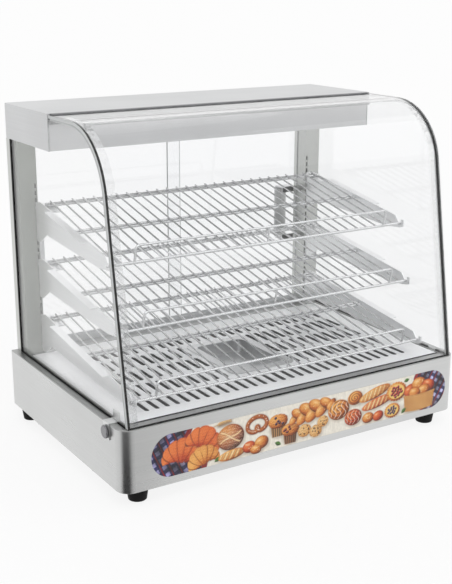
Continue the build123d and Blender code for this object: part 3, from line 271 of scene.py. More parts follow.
steel = {"colour": (0.66, 0.665, 0.66), "contrast": 0.05, "run": 5.0, "grain": 420.0, "rough": 0.27,
         "relief": 0.08, "smudge": 0.35, "metal": 1.0, "edge": 0.0008}
looks = {
    # the inside colours are painted shade on faces that look inward or down
    "shellSteel": {"inside": (0.03, 0.03, 0.03)},
    "plateSteel": {},
    "ledgeSteel": {"colour": (0.43, 0.435, 0.43), "rough": 0.33, "edge": 0.0005, "inside": (0.03, 0.03, 0.03)},
    "roofSteel": {"colour": (0.66, 0.665, 0.67), "rough": 0.40},
    "deckSteel": {"colour": (0.93, 0.935, 0.94), "rough": 0.45, "edge": 0.0, "metal": 0.25,
                  "inside": (0.05, 0.05, 0.05)},
    "panSteel": {"colour": (0.55, 0.555, 0.56), "rough": 0.28, "edge": 0.0012},
    # painted shade: the left post is a darker, greener copy of the right post's steel
    "leftPostShadedSteel": {"colour": (0.30, 0.32, 0.285), "rough": 0.36, "grain": 500.0},
    "rightPostSteel": {"colour": (0.56, 0.57, 0.55), "rough": 0.36, "grain": 500.0},
    "armSteel": {"colour": (0.88, 0.885, 0.89), "rough": 0.34, "edge": 0.0004, "metal": 0.7},
    "handleSteel": {"colour": (0.70, 0.705, 0.71), "rough": 0.3, "edge": 0.0004},
    "wireSteel": {"colour": (0.62, 0.625, 0.63), "rough": 0.22, "edge": 0.0, "contrast": 0.03},
    "railSteel": {"colour": (0.68, 0.685, 0.69), "rough": 0.20, "edge": 0.0, "contrast": 0.03},
    "screwSteel": {"colour": (0.45, 0.45, 0.46), "rough": 0.22, "grain": 900.0, "edge": 0.0003},
    "thumbSteel": {"colour": (0.27, 0.27, 0.28), "rough": 0.16, "grain": 900.0, "edge": 0.0004},
    "clipSteel": {"colour": (0.78, 0.785, 0.78), "rough": 0.30, "edge": 0.0006},
    "channelSteel": {"colour": (0.24, 0.245, 0.25), "rough": 0.42, "edge": 0.0004},
    "railAluminium": {"colour": (0.70, 0.71, 0.72), "rough": 0.4},
    "innerSteel": {"colour": (0.045, 0.045, 0.045), "rough": 0.5, "metal": 0.6},
    "elementSteel": {"colour": (0.10, 0.095, 0.09), "rough": 0.5},
}
lowPost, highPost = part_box("right_post")
# painted shade in the posts' hollows, painted light on their outer sides
for name in ("leftPostShadedSteel", "rightPostSteel"):
    looks[name].update({"hollow": (0.015, 0.015, 0.015), "hollowFrom": lowPost[1] + 0.003,
                        "litFlank": (0.62, 0.63, 0.61), "litFlankFrom": highPost[0] - 0.0005})
mats = {name: brushedSteel(name, {**steel, **changes}) for name, changes in looks.items()}
plastics = {
    "sealRubber": {"colour": (0.006, 0.006, 0.006), "grain": 900.0, "rough": 0.55, "shine": 0.12, "relief": 0.1},
    # the edge seals' pale sides are painted light
    "edgeRubber": {"colour": (0.006, 0.006, 0.006), "grain": 900.0, "rough": 0.5, "shine": 0.12, "relief": 0.05,
                   "litSideColour": (0.55, 0.56, 0.56)},
    "footRubber": {"colour": (0.008, 0.008, 0.008), "grain": 500.0, "rough": 0.6, "shine": 0.15, "relief": 0.2,
                   "edge": 0.0008},
    "blackPlastic": {"colour": (0.02, 0.02, 0.022), "grain": 700.0, "rough": 0.42, "shine": 0.35, "relief": 0.15,
                     "edge": 0.0004},
    "knobPlastic": {"colour": (0.014, 0.014, 0.014), "grain": 900.0, "rough": 0.28, "shine": 0.4, "relief": 0.05,
                    "edge": 0.0006},
    "amberPlastic": {"colour": (0.8, 0.27, 0.03), "grain": 60.0, "rough": 0.18, "shine": 0.5, "relief": 0.05,
                     "edge": 0.0004},
    "lensPlastic": {"colour": (0.86, 0.86, 0.83), "grain": 300.0, "rough": 0.35, "shine": 0.5, "relief": 0.2},
    "lampWhite": {"colour": (0.88, 0.87, 0.82), "grain": 50.0, "rough": 0.2, "shine": 0.5, "relief": 0.02},
    "ceramicWhite": {"colour": (0.80, 0.78, 0.74), "grain": 300.0, "rough": 0.5, "shine": 0.4, "relief": 0.15},
    "terminalCream": {"colour": (0.75, 0.72, 0.64), "grain": 400.0, "rough": 0.45, "shine": 0.4, "relief": 0.1},
    "markPaint": {"colour": (0.01, 0.01, 0.01), "grain": 800.0, "rough": 0.5, "shine": 0.3, "relief": 0.05},
    "markWhite": {"colour": (0.85, 0.85, 0.85), "grain": 800.0, "rough": 0.5, "shine": 0.3, "relief": 0.05},
}
mats.update({name: moulded(name, look) for name, look in plastics.items()})
panes = {
    "frontPane": {"tint": (0.962, 0.965, 0.970), "edgeColour": (0.80, 0.82, 0.82), "flatAxis": "X",
                  "edgesAre": "same"},
    "sidePane": {"tint": (0.985, 0.987, 0.988), "edgeColour": (0.50, 0.53, 0.52), "flatAxis": "X",
                 "edgesAre": "other"},
    "doorPane": {"tint": (0.962, 0.965, 0.970), "edgeColour": (0.42, 0.45, 0.44), "flatAxis": "Y",
                 "edgesAre": "other"},
}
mats.update({name: clearGlass(name, look) for name, look in panes.items()})
mats["clearStrip"] = clearPlastic("clearStrip", {"colour": (0.86, 0.87, 0.87), "grain": 60.0, "alpha": 0.03})
print("materials made:", len(mats))

levels = ("top", "middle", "bottom")
dress(mats["shellSteel"], "base_shell", "base_rear_wall")
dress(mats["plateSteel"], "base_bottom_plate", "control_panel")
dress(mats["ledgeSteel"], "base_top_frame")
dress(mats["roofSteel"], "roof_cover", "roof_soffit")
dress(mats["deckSteel"], "deck_plate")
dress(mats["panSteel"], "water_pan")
dress(mats["leftPostShadedSteel"], "left_post")
dress(mats["rightPostSteel"], "right_post")
dress(mats["armSteel"], *[f"{level}_{side}_arm" for level in levels for side in ("left", "right")])
dress(mats["wireSteel"], *[f"{level}_shelf_grid" for level in levels])
dress(mats["railSteel"], *[f"{level}_shelf_rail" for level in levels])
dress(mats["screwSteel"], "foot_screws", "case_screws", "thermostat_shaft")
dress(mats["thumbSteel"], "left_thumb_screw", "right_thumb_screw")
dress(mats["clipSteel"], "glass_clips")
dress(mats["channelSteel"], "glass_channel")
dress(mats["railAluminium"], "lower_door_track", "upper_door_track")
dress(mats["handleSteel"], "left_door_handle", "right_door_handle")
dress(mats["innerSteel"], "thermostat_body", "heater_supports", "heat_shield")
dress(mats["elementSteel"], "heater_element")
dress(mats["sealRubber"], "side_seals", "front_seal")
dress(mats["edgeRubber"], "edge_seals")
dress(mats["footRubber"], "rubber_feet")
dress(mats["blackPlastic"], "switch_housings", "cord_gland")
dress(mats["knobPlastic"], "heat_switch_rocker", "light_switch_rocker", "thermostat_knob")
dress(mats["amberPlastic"], "pilot_lamp")
dress(mats["lensPlastic"], "lamp_lens")
dress(mats["lampWhite"], "lamp_tube")
dress(mats["ceramicWhite"], "lamp_holders")
dress(mats["terminalCream"], "terminal_block")
dress(mats["frontPane"], "front_glass")
dress(mats["sidePane"], "left_side_glass", "right_side_glass")
dress(mats["doorPane"], "left_door_glass", "right_door_glass")
dress(mats["clearStrip"], "corner_trims")
print("solids dressed")


# mesh from whole arrays of points and faces, riding on a body and taking a slot's finish
def makePiece(name, points, faces, mat, body):
    mesh = bpy.data.meshes.new(name)
    mesh.from_pydata(points.tolist(), [], faces.tolist() if isinstance(faces, np.ndarray) else faces)
    mesh.materials.append(mat)
    mesh.update()
    piece = bpy.data.objects.new(name, mesh)
    bpy.context.scene.collection.objects.link(piece)
    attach(piece, body)
    return piece


# printed film on the front of the base: a stadium-shaped sheet whose columns run from end to end, each as
# tall as the outline is there, with a skirt and a back so that it is closed. The picture is painted into a
# colour attribute from sums of ellipses, arcs and waves in millimetres from the film's middle.
film = {"straight": 640, "round": 60, "rows": 92, "clear": 0.00002, "paper": (236, 231, 219), "gloss": 0.26}
lowFilm, highFilm = (np.array(corner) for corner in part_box("front_decal"))
filmHalf = (highFilm[0] - lowFilm[0]) / 2 * 1000
filmRound = (highFilm[2] - lowFilm[2]) / 2 * 1000
turnSteps = np.linspace(0, math.pi / 2, film["round"])
flatSteps = np.linspace(-1, 1, film["straight"])[1:-1] * (filmHalf - filmRound)
leftEnd = -(filmHalf - filmRound) - filmRound * np.cos(turnSteps)
along = np.concatenate([leftEnd, flatSteps, -leftEnd[::-1]])
tall = np.sqrt(np.clip(filmRound**2 - np.clip(np.abs(along) - (filmHalf - filmRound), 0, None) ** 2, 0.0, None))
tall = np.maximum(tall, 0.02)
across = np.linspace(-1, 1, film["rows"])
uu = np.repeat(along[None, :], film["rows"], axis=0)
vv = across[:, None] * tall[None, :]

# crumb of the crusts: sums of sine waves in random directions, the fine one from the shorter waves alone
crumb = {"waves": 26, "longest": 0.12, "shortest": 2.6, "fineFrom": 12, "even": 5.2, "evenFine": 3.7}
waveKeys = rng.normal(size=(crumb["waves"], 2))
waveKeys /= np.linalg.norm(waveKeys, axis=1)[:, None]
waveScales = np.geomspace(crumb["longest"], crumb["shortest"], crumb["waves"])
wavePhases = rng.uniform(0, 6.28, crumb["waves"])
waves = list(zip(waveKeys, waveScales, wavePhases))
crumbs = sum(np.sin((uu * kx + vv * ky) * s * 2 + p) for (kx, ky), s, p in waves) / crumb["even"]
fineCrumbs = sum(np.sin((uu * ky - vv * kx) * s * 3 + p * 2)
                 for (kx, ky), s, p in waves[crumb["fineFrom"]:]) / crumb["evenFine"]
picture = np.zeros((*uu.shape, 3)) + np.array(film["paper"]) / 255
picture *= (1 - 0.035 * np.clip(crumbs, -1, 1))[..., None]


# share of a point inside an edge, from its distance in millimetres (negative inside)
def inside(distance, blur=0.45):
    return np.clip(0.5 - distance / (2 * blur), 0, 1)


def paint(share, colour):
    global picture
    colour = np.asarray(colour, float)
    if colour.max() > 1.5:
        colour = colour / 255
    picture = picture * (1 - share[..., None]) + colour * share[..., None]


# the point's place in a motif's own frame: moved to its middle and turned
def turned(at, angle):
    c, s = math.cos(math.radians(angle)), math.sin(math.radians(angle))
    return (uu - at[0]) * c + (vv - at[1]) * s, -(uu - at[0]) * s + (vv - at[1]) * c


# signed distance to an ellipse, near enough for soft edges: (length of the scaled place - 1) times the short radius
def oval(at, rx, ry, angle=0.0):
    a, b = turned(at, angle)
    q = np.sqrt((a / rx) ** 2 + (b / ry) ** 2)
    return (q - 1) * min(rx, ry), a / rx, b / ry, q


# soft shadow on the paper, moved to the lower right and a little larger than what casts it
shadeUnder = {"moved": (1.5, -2.5), "larger": 1.05, "blur": 3.0, "strength": 0.35, "colour": (120, 100, 82)}


def shadowUnder(at, rx, ry, angle=0.0):
    at = (at[0] + shadeUnder["moved"][0], at[1] + shadeUnder["moved"][1])
    d = oval(at, rx * shadeUnder["larger"], ry * shadeUnder["larger"], angle)[0]
    paint(inside(d, shadeUnder["blur"]) * shadeUnder["strength"], shadeUnder["colour"])


crusts = {"gold": ((84, 34, 12), (190, 98, 34), (240, 178, 96)), "dark": ((62, 22, 10), (150, 68, 26), (220, 146, 76)),
          "pale": ((140, 84, 38), (214, 154, 84), (250, 224, 170)), "red": ((80, 14, 8), (178, 56, 22), (232, 126, 62))}


# baked colour from a height's shade (0 dark to 1 bright), mixed over three tones with some crumb in it
def baked(shade, kind, rough=0.12):
    low, mid, high = (np.array(c) / 255 for c in crusts[kind])
    t = np.clip(shade + rough * fineCrumbs + 0.06 * crumbs, 0, 1)[..., None]
    return np.where(t < 0.5, low + (mid - low) * t * 2, mid + (high - mid) * (t * 2 - 1))


# light from the upper left on a dome: its normal is (a, b, height)
def domeShade(a, b, lift=0.0):
    h = np.sqrt(np.clip(1 - a**2 - b**2, 0, 1))
    return np.clip(0.18 + lift + 0.62 * h - 0.34 * a + 0.40 * b, 0, 1)


# bun: a domed ellipse with a gleam on its upper left, and seeds on some
def bun(at, rx, ry, angle, kind="gold", seeds=0, glaze=0.0):
    shadowUnder(at, rx, ry, angle)
    d, a, b, q = oval(at, rx, ry, angle)
    colour = baked(domeShade(a, b) * (1 - 0.25 * np.clip(q, 0, 1) ** 6), kind)
    paint(inside(d), colour)
    gleam = np.exp(-(((a + 0.30) / 0.30) ** 2 + ((b - 0.42) / 0.16) ** 2))
    paint(np.clip(gleam * (0.45 + glaze), 0, 1) * inside(d), (255, 236, 200))
    for sa, sb in rng.uniform(-0.62, 0.62, (seeds, 2)):
        sd = oval((at[0] + sa * rx, at[1] + sb * ry * 0.8 + ry * 0.1), 0.95, 0.55, rng.uniform(0, 180))[0]
        paint(inside(sd, 0.3) * 0.9, (250, 232, 190))


# long loaf: an ellipse with slanting cuts that show the pale crumb
def loaf(at, rx, ry, angle, kind="gold", cuts=4):
    shadowUnder(at, rx, ry, angle)
    d, a, b = oval(at, rx, ry, angle)[:3]
    paint(inside(d), baked(domeShade(a * 0.7, b), kind))
    stripes = (a * rx - b * ry * 0.7) / (2 * rx * 0.86 / cuts)
    cut = np.abs(stripes - np.floor(stripes) - 0.5)
    mask = inside((0.5 - cut - 0.36) * 6.0 + np.clip(np.abs(b) - 0.62, 0, 1) * 8, 0.5) * inside(d + 1.0)
    paint(mask * 0.85, baked(domeShade(a, b, lift=0.25), "pale", 0.2))
    edge = inside(np.abs((0.5 - cut - 0.36) * 6.0 + 0.6) - 0.35, 0.3) * inside(np.abs(b) * ry - ry * 0.66)
    paint(edge * 0.55 * inside(d + 1.0), (112, 54, 24))


# round loaf with a cross of cuts and a dusting of flour
def boule(at, r):
    shadowUnder(at, r, r * 0.86)
    d, a, b, q = oval(at, r, r * 0.86)
    paint(inside(d), baked(domeShade(a, b), "dark"))
    for bend in (0.55, -0.55):
        line = np.abs(b - bend * a + 0.12 * np.sin(a * 3.0)) * r * 0.86
        paint(inside(line - 1.5, 0.7) * inside(d + 3.0) * 0.9, (240, 206, 150))
        paint(inside(np.abs(line - 2.0) - 0.3, 0.3) * inside(d + 3.0) * 0.5, (96, 44, 20))
    flour = np.clip(fineCrumbs * 1.4 + 0.25 - q, 0, 0.55)
    paint(flour * inside(d + 1.5), (248, 240, 226))


# crescent: a tube along an arc, thick in the middle and thin at the tips, with the steps of its folds
def crescent(at, size, angle, kind="gold", folds=7):
    a, b = turned(at, angle)
    b = b + size * 0.62
    radius, swing = np.hypot(a, b), np.arctan2(a, b)
    reach = 1.25
    thick = size * (0.10 + 0.42 * np.cos(np.clip(swing / reach, -1, 1) * math.pi / 2) ** 0.8)
    q = (radius - size * 0.82) / thick
    step = swing / reach * folds / 2 + 0.5 * np.sign(swing) * (q**2) * 0.35
    ridge = step - np.floor(step)
    bulge = 1 - np.abs(2 * ridge - 1) ** 3
    d = (np.abs(q) - (0.84 + 0.16 * bulge)) * thick + np.clip(np.abs(swing) - reach, 0, 9) * size
    shadow = (np.abs(q + 0.12) - 1.06) * thick + np.clip(np.abs(swing) - reach, 0, 9) * size
    paint(inside(shadow, 2.2) * 0.30, shadeUnder["colour"])
    shade = 0.20 + 0.50 * np.sqrt(np.clip(1 - q**2, 0, 1)) + 0.26 * q + 0.20 * bulge - 0.16 * np.sin(swing)
    paint(inside(d), baked(shade, kind, 0.16))
    crease = np.minimum(ridge, 1 - ridge) * thick * 1.3
    paint(inside(crease - 0.6, 0.5) * inside(d + 0.4) * 0.75, (78, 30, 12))


# rope of dough: nearest distance to a sampled curve, painted as a round tube that darkens to its edges
def rope(xs, ys, thick, kind, salt=0):
    near = np.full(uu.shape, 1e9)
    lean = np.zeros(uu.shape)
    box = (uu > xs.min() - 8) & (uu < xs.max() + 8) & (vv > ys.min() - 8) & (vv < ys.max() + 8)
    pu, pv = uu[box], vv[box]
    gap = np.hypot(pu[:, None] - xs[None, :], pv[:, None] - ys[None, :])
    pick = gap.argmin(axis=1)
    near[box] = gap[np.arange(len(pick)), pick]
    lean[box] = ((pv - ys[pick]) - (pu - xs[pick])) / 1.41
    paint(inside(near - thick - 1.2, 1.6) * 0.28, shadeUnder["colour"])
    q = near / thick
    shade = 0.20 + 0.46 * np.sqrt(np.clip(1 - q**2, 0, 1)) + 0.26 * np.clip(lean / thick, -1, 1)
    paint(inside(near - thick), baked(shade, kind))
    for spot in rng.integers(0, len(xs), salt):
        sd = oval((xs[spot] + rng.uniform(-1, 1), ys[spot] + rng.uniform(0, 1.4)), 0.7, 0.6)[0]
        paint(inside(sd, 0.3), (252, 248, 238))


# pretzel: a rope of dough along a looped curve, a sine and a cosine whose reach shrinks with the square of the turn
def pretzel(at, size, angle):
    t = np.linspace(-4.0, 4.0, 150)
    x = (3.3 - 0.2 * t**2) * np.sin(t) * size / 4.2
    y = (2.5 - 0.15 * t**2) * np.cos(t) * size / 4.2
    c, s = math.cos(math.radians(angle)), math.sin(math.radians(angle))
    rope(at[0] + x * c - y * s, at[1] + x * s + y * c, size * 0.14, "dark", 26)


# plait: leaning ovals in two rows that overlap along a line
def plait(at, length, thick, angle):
    c, s = math.cos(math.radians(angle)), math.sin(math.radians(angle))
    for index, place in enumerate(np.linspace(-0.5, 0.5, 9)):
        side = 1 if index % 2 else -1
        width = thick * (1 - 1.6 * place**2)
        x, y = place * length, side * width * 0.22
        bun((at[0] + x * c - y * s, at[1] + x * s + y * c), width * 0.95, width * 0.55, angle - side * 38, seeds=2)


# muffin: a pleated paper cup under a cracked dome, with a few berries
def muffin(at, size, berry=(60, 24, 62), count=5, cup=(198, 150, 100)):
    shadowUnder((at[0], at[1] - size * 0.25), size * 0.6, size * 0.55)
    a, b = (uu - at[0]) / size, (vv - at[1]) / size
    wall = 0.40 + 0.14 * np.clip(b + 0.75, 0, 1)
    d = np.maximum(np.abs(a) - wall, np.maximum(-0.78 - b, b + 0.02)) * size
    pleat = 0.72 + 0.28 * np.sin(a / wall * 19)
    paint(inside(d), np.clip(np.array(cup) / 255 * (pleat * (1 - 0.5 * np.abs(a + 0.15)))[..., None], 0, 1))
    d, a, b = oval((at[0], at[1] + size * 0.12), size * 0.66, size * 0.42)[:3]
    paint(inside(d + 0.5 * crumbs), baked(domeShade(a, b), "gold", 0.26))
    for sa, sb in rng.uniform(-0.5, 0.5, (count, 2)):
        place = (at[0] + sa * size * 0.9, at[1] + size * (0.16 + sb * 0.5))
        berryAt(place, size * 0.085, berry)


def berryAt(at, r, colour):
    d, a, b = oval(at, r, r)[:3]
    shade = np.clip(0.55 + 0.5 * b - 0.3 * a, 0.15, 1.1)[..., None]
    paint(inside(d, 0.3), np.clip(np.array(colour) / 255 * shade * 1.25, 0, 1))
    gleam = oval((at[0] - r * 0.35, at[1] + r * 0.4), max(0.35, r * 0.26), max(0.3, r * 0.2))[0]
    paint(inside(gleam, 0.3) * 0.8, (255, 235, 230))


# rolled bun: the spiral is where radius over pitch plus the turn is near a whole number
def snail(at, r, kind="gold", icing=True):
    shadowUnder(at, r, r * 0.8)
    d, a, b, q = oval(at, r, r * 0.8)
    swirl = q * 3.1 + np.arctan2(b, a) / (2 * math.pi)
    band = np.abs(swirl - np.floor(swirl) - 0.5)
    paint(inside(d), baked(domeShade(a, b) + 0.20 * (0.3 - band), kind))
    paint(inside((0.5 - band) * 4.2 - 0.55, 0.45) * inside(d + 1.0) * 0.75, (88, 36, 16))
    if icing:
        drizzle = np.abs(np.sin(a * 7.0 + 1.5 * np.sin(b * 4.0)))
        paint(inside((drizzle - 0.22) * 3.0, 0.4) * inside(d + 1.6) * 0.85, (252, 244, 232))


# biscuit: a lumpy disc with dark chips
def biscuit(at, r, chips=9):
    shadowUnder(at, r, r * 0.85)
    d, a, b, q = oval(at, r, r * 0.85)
    paint(inside(d + 0.4 * crumbs), baked(0.42 + 0.21 * (1 - q**4) - 0.12 * a + 0.16 * b, "pale", 0.24))
    for ca, cb in rng.uniform(-0.68, 0.68, (chips, 2)):
        cd = oval((at[0] + ca * r, at[1] + cb * r * 0.85), r * 0.10, r * 0.08, rng.uniform(0, 180))[0]
        paint(inside(cd, 0.35), (58, 28, 18))


# tart: a fluted rim round custard that berries cover
def tart(at, r, berry, count=16):
    shadowUnder(at, r, r * 0.78)
    d, a, b = oval(at, r, r * 0.78)[:3]
    flute = 0.5 * np.sin(np.arctan2(b, a) * 22)
    paint(inside(d + flute), baked(0.55 + 0.22 * flute - 0.25 * a + 0.28 * b, "gold"))
    paint(inside(oval(at, r * 0.80, r * 0.60)[0]), (236, 196, 112))
    turns = np.arange(count) * 2.399  # the golden angle spreads them evenly
    radii = np.sqrt((np.arange(count) + 0.5) / count) * 0.82
    for ca, cb in zip(np.cos(turns) * radii, np.sin(turns) * radii):
        berryAt((at[0] + ca * r * 0.72, at[1] + cb * r * 0.54), r * 0.125, berry)


# leaf: halves of a cosine on either side of a pale rib, one half brighter
def leaf(at, length, angle):
    a, b = turned(at, angle)
    wide = length * 0.28 * np.cos(np.clip(a / length, -0.5, 0.5) * math.pi)
    d = np.maximum(np.abs(b) - wide, np.abs(a) - length / 2)
    shade = np.clip(0.8 + 0.175 * np.sign(b) + 0.15 * fineCrumbs, 0.3, 1.3)[..., None]
    paint(inside(d), np.clip(np.array((70, 120, 44)) / 255 * shade, 0, 1))
    paint(inside(np.abs(b) - 0.2, 0.3) * inside(d + 0.5) * 0.6, (168, 196, 120))


# ear of wheat: a bent stalk with pairs of grains
def wheat(at, length, angle):
    t = np.linspace(0, 1, 60)
    c, s = math.cos(math.radians(angle)), math.sin(math.radians(angle))
    x, y = (t - 0.5) * length, 3.0 * np.sin(t * 2.2)
    rope(at[0] + x * c - y * s, at[1] + x * s + y * c, 0.5, "pale")
    for share in np.linspace(0.52, 1.0, 9):
        x, y = (share - 0.5) * length, 3.0 * math.sin(share * 2.2)
        for side in (-1, 1):
            beside = y + side * 1.5
            bun((at[0] + x * c - beside * s, at[1] + x * s + beside * c), 2.5, 1.0, angle + side * 26, "pale")


# checked cloth: crossing bands of colour with the light and shade of its folds
def checked(mask, angle, pitch, first, second, ground):
    a, b = turned((0, 0), angle)
    bandA, bandB = ((np.sin(place * 2 * math.pi / pitch) > 0) * 0.78 for place in (a, b))
    mix = np.clip(bandA + bandB, 0, 1)[..., None]
    cloth = np.array(ground) / 255 * (1 - mix) + np.array(first) / 255 * mix
    trim = (np.abs(np.sin(a * math.pi / pitch + 0.6)) > 0.975)[..., None]
    cloth = np.where(trim, np.array(second) / 255, cloth)
    folds = 0.80 + 0.26 * np.sin(a * 0.16 + 1.4 * np.sin(b * 0.07)) + 0.10 * np.sin(b * 0.33 + a * 0.12)
    folds += 0.05 * fineCrumbs
    paint(mask, np.clip(cloth * folds[..., None], 0, 1))


# woven basket seen from the front: courses that pass over and under upright stakes
def basket(at, wide, high):
    shadowUnder((at[0], at[1] - high * 0.2), wide * 0.55, high * 0.6)
    a, b = (uu - at[0]) / wide, (vv - at[1]) / high
    sag = b + 0.10 * (1 - (2 * a) ** 2)
    d = np.maximum(np.abs(a) - (0.5 + 0.05 * b), np.abs(sag) - 0.5) * min(wide, high)
    course = np.floor(sag * high / 2.6)
    weave = np.sin(a * wide * 1.15 + course * math.pi) * 0.5 + 0.5
    band = np.abs((sag * high / 2.6) % 1 - 0.5) * 2
    shade = 0.20 + 0.45 * weave * (1 - band**2) + 0.12 * (1 - 4 * a**2)
    paint(inside(d), baked(shade, "pale", 0.1))
    rim = np.maximum(np.abs(sag - 0.5) * high - 1.7, (np.abs(a) - 0.54) * wide)
    twist = np.sin(a * wide * 1.9 - sag * high * 1.2)
    paint(inside(rim), baked(0.42 + 0.24 * twist, "pale", 0.1))


leftHem = uu + 216 + 10 * np.sin(vv * 0.09 + 0.6) + vv * 0.35
rightHem = uu - 236 - 9 * np.sin(vv * 0.11 + 2.2) + vv * 0.30
checked(inside(leftHem, 0.8), 24, 14.0, (18, 20, 62), (136, 18, 26), (150, 146, 190))
paint(inside(np.abs(leftHem + 5) - 4.6, 0.7), (132, 18, 24))
checked(inside(-rightHem, 0.8), -31, 12.0, (18, 20, 62), (146, 22, 28), (176, 174, 210))
paint(inside(np.abs(rightHem - 4) - 3.6, 0.7), (150, 24, 28))
wheat((-176, 28), 44, 8)
crescent((-240, -5), 40, -14, "red")
crescent((-203, 9), 36, -26, "red", 6)
crescent((-204, -20), 32, 16)
leaf((-178, -27), 13, 30)
boule((-154, 5), 25)
loaf((-152, -25), 25, 8.5, 6)
pretzel((-104, 12), 27, 6)
bun((-119, -20), 12.5, 10, 0, "red", 9, 0.15)
bun((-96, -17), 13.5, 11, 10, "gold", 0, 0.2)
bun((-107, -27), 11, 8, -8, "gold", 8, 0.1)
muffin((-64, 8), 29)
muffin((-40, -11), 27, (120, 18, 24), 6, (166, 108, 70))
leaf((-64, -27), 13, -25)
plait((4, 16), 76, 20, 8)
biscuit((-12, -16), 13)
biscuit((11, -22), 12.5, 11)
biscuit((25, -8), 11.5)
snail((58, 5), 22)
snail((89, -15), 18, "red")
snail((92, 19), 15.5, "gold", False)
loaf((134, 19), 34, 9.5, 14, "gold", 6)
loaf((141, 1), 34, 9.0, 11, "red", 6)
bun((121, -23), 12.5, 9.5, 0, "gold", 10, 0.15)
bun((143, -24), 11.5, 9, 12, "red", 0, 0.2)
tart((182, 12), 22, (176, 20, 28))
tart((174, -21), 17, (58, 30, 92), 13)
leaf((204, 28), 12, 12)
bun((213, 8), 14, 11, 20, "red", 8)
bun((232, 16), 16, 12.5, 0, "gold", 9, 0.1)
bun((254, 10), 14.5, 11, -18, "red", 0, 0.15)
bun((244, 3), 14, 10, 6, "gold", 6)
bun((223, 1), 13, 10, -6, "gold", 0, 0.1)
basket((234, -16), 66, 28)
leaf((200, -27), 13, 40)
picture = np.clip(picture, 0, 1)
picture[np.abs(vv) > tall[None, :] - 0.5] *= 0.9
print("picture painted")

rows, cols = uu.shape
centre = (lowFilm + highFilm) / 2
frontX, frontZ = centre[0] + uu / 1000, centre[2] + vv / 1000
frontFace = np.stack([frontX, np.full(uu.shape, lowFilm[1] + film["clear"]), frontZ], axis=-1).reshape(-1, 3)
edgeIndex = np.concatenate([np.arange(cols), (rows - 1) * cols + np.arange(cols)])  # bottom row, then top row
backEdge = frontFace[edgeIndex].copy()
backEdge[:, 1] = highFilm[1] - film["clear"]
grid = np.arange(rows * cols).reshape(rows, cols)
quads = np.stack([grid[:-1, :-1], grid[:-1, 1:], grid[1:, 1:], grid[1:, :-1]], axis=-1).reshape(-1, 4)
low, high = rows * cols + np.arange(cols), rows * cols + cols + np.arange(cols)
skirtLow = np.stack([grid[0, 1:], grid[0, :-1], low[:-1], low[1:]], axis=-1)
skirtHigh = np.stack([grid[-1, :-1], grid[-1, 1:], high[1:], high[:-1]], axis=-1)
backFaces = np.stack([low[:-1], high[:-1], high[1:], low[1:]], axis=-1)
endFaces = [[*grid[:, 0].tolist(), int(high[0]), int(low[0])],
            [*grid[:, -1][::-1].tolist(), int(low[-1]), int(high[-1])]]
filmFaces = np.concatenate([quads, skirtLow, skirtHigh, backFaces]).tolist() + endFaces

mat, tree, shader = newMaterial("printedFilm")
printColour = node(tree, "ShaderNodeAttribute", attribute_name="printColour")
speckle = noiseAt(tree, (1, 1, 1), 900.0, 2.0, 0.5)
tint = mixColour(tree, ramp(tree, speckle, 0.3, 0.7, 0.0, 0.10), printColour.outputs["Color"], (0.55, 0.52, 0.48))
tree.links.new(tint, shader.inputs["Base Color"])
sheen = noiseAt(tree, (4, 4, 9), 1.0, 3.0, 0.5)
tree.links.new(ramp(tree, sheen, 0.3, 0.7, film["gloss"], film["gloss"] + 0.1), shader.inputs["Roughness"])
shader.inputs["Specular IOR Level"].default_value = 0.35
bump(tree, shader, speckle, 0.04, 0.0001)
printedFilm = makePiece("front_print_film", np.concatenate([frontFace, backEdge]), filmFaces, mat, "case")
linear = np.where(picture <= 0.04045, picture / 12.92, ((picture + 0.055) / 1.055) ** 2.4).reshape(-1, 3)
linear = np.concatenate([linear, linear[edgeIndex]])
paintLayer = printedFilm.data.color_attributes.new("printColour", "FLOAT_COLOR", "POINT")
paintLayer.data.foreach_set("color", np.concatenate([linear, np.ones((len(linear), 1))], axis=1).ravel())
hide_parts("front_decal")
print("printed film made:", len(printedFilm.data.polygons), "faces")

# dial marks round the knob: thin boxes set out on an arc, each turned to its own angle, on the panel's face
dial = {"middle": (0.242, 0.077), "inner": 0.0235, "outer": 0.0265, "start": -135, "sweep": 270, "ticks": 28,
        "proud": 0.00012, "thick": 0.0006, "longEach": 3, "longer": 0.0012, "letters": 0.0052, "lettersAt": 0.0305,
        "numbers": ("0", "30", "50", "70", "90", "110")}
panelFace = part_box("control_panel")[1][1]


# thin boxes on the panel, from the lower and upper corner of each in panel coordinates (right, up) before its turn
def panelBoxes(corners, angles, proud):
    unit = np.array([(x, y, z) for y in (0, 1) for z in (0, 1) for x in (0, 1)], float)
    low, high = corners[:, None, :2], corners[:, None, 2:]
    right = low[..., 0] + (high[..., 0] - low[..., 0]) * unit[None, :, 0]
    up = low[..., 1] + (high[..., 1] - low[..., 1]) * unit[None, :, 2]
    c, s = np.cos(angles)[:, None], np.sin(angles)[:, None]
    turnedRight, turnedUp = right * c + up * s, up * c - right * s
    depth = np.where(unit[None, :, 1] > 0, proud, 0.0) + np.zeros_like(right)
    points = np.stack([-turnedRight, depth, turnedUp], axis=-1).reshape(-1, 3)
    sides = np.array([(2, 3, 1, 0), (5, 7, 6, 4), (1, 5, 4, 0), (6, 7, 3, 2), (4, 6, 2, 0), (3, 7, 5, 1)])
    faces = (sides[None] + 8 * np.arange(len(corners))[:, None, None]).reshape(-1, 4)
    return points, faces


tickAngles = np.radians(dial["start"] + np.arange(dial["ticks"]) * dial["sweep"] / (dial["ticks"] - 1))
longer = np.where(np.arange(dial["ticks"]) % dial["longEach"] == 0, dial["longer"], 0.0)
half = np.full(dial["ticks"], dial["thick"] / 2)
tickCorners = np.stack([-half, np.full(dial["ticks"], dial["inner"]), half, dial["outer"] + longer], axis=1)
tickPoints, tickFaces = panelBoxes(tickCorners, tickAngles, dial["proud"])
tickPoints += np.array([dial["middle"][0], panelFace, dial["middle"][1]])
makePiece("dial_ticks", tickPoints, tickFaces, mats["markPaint"], "case")


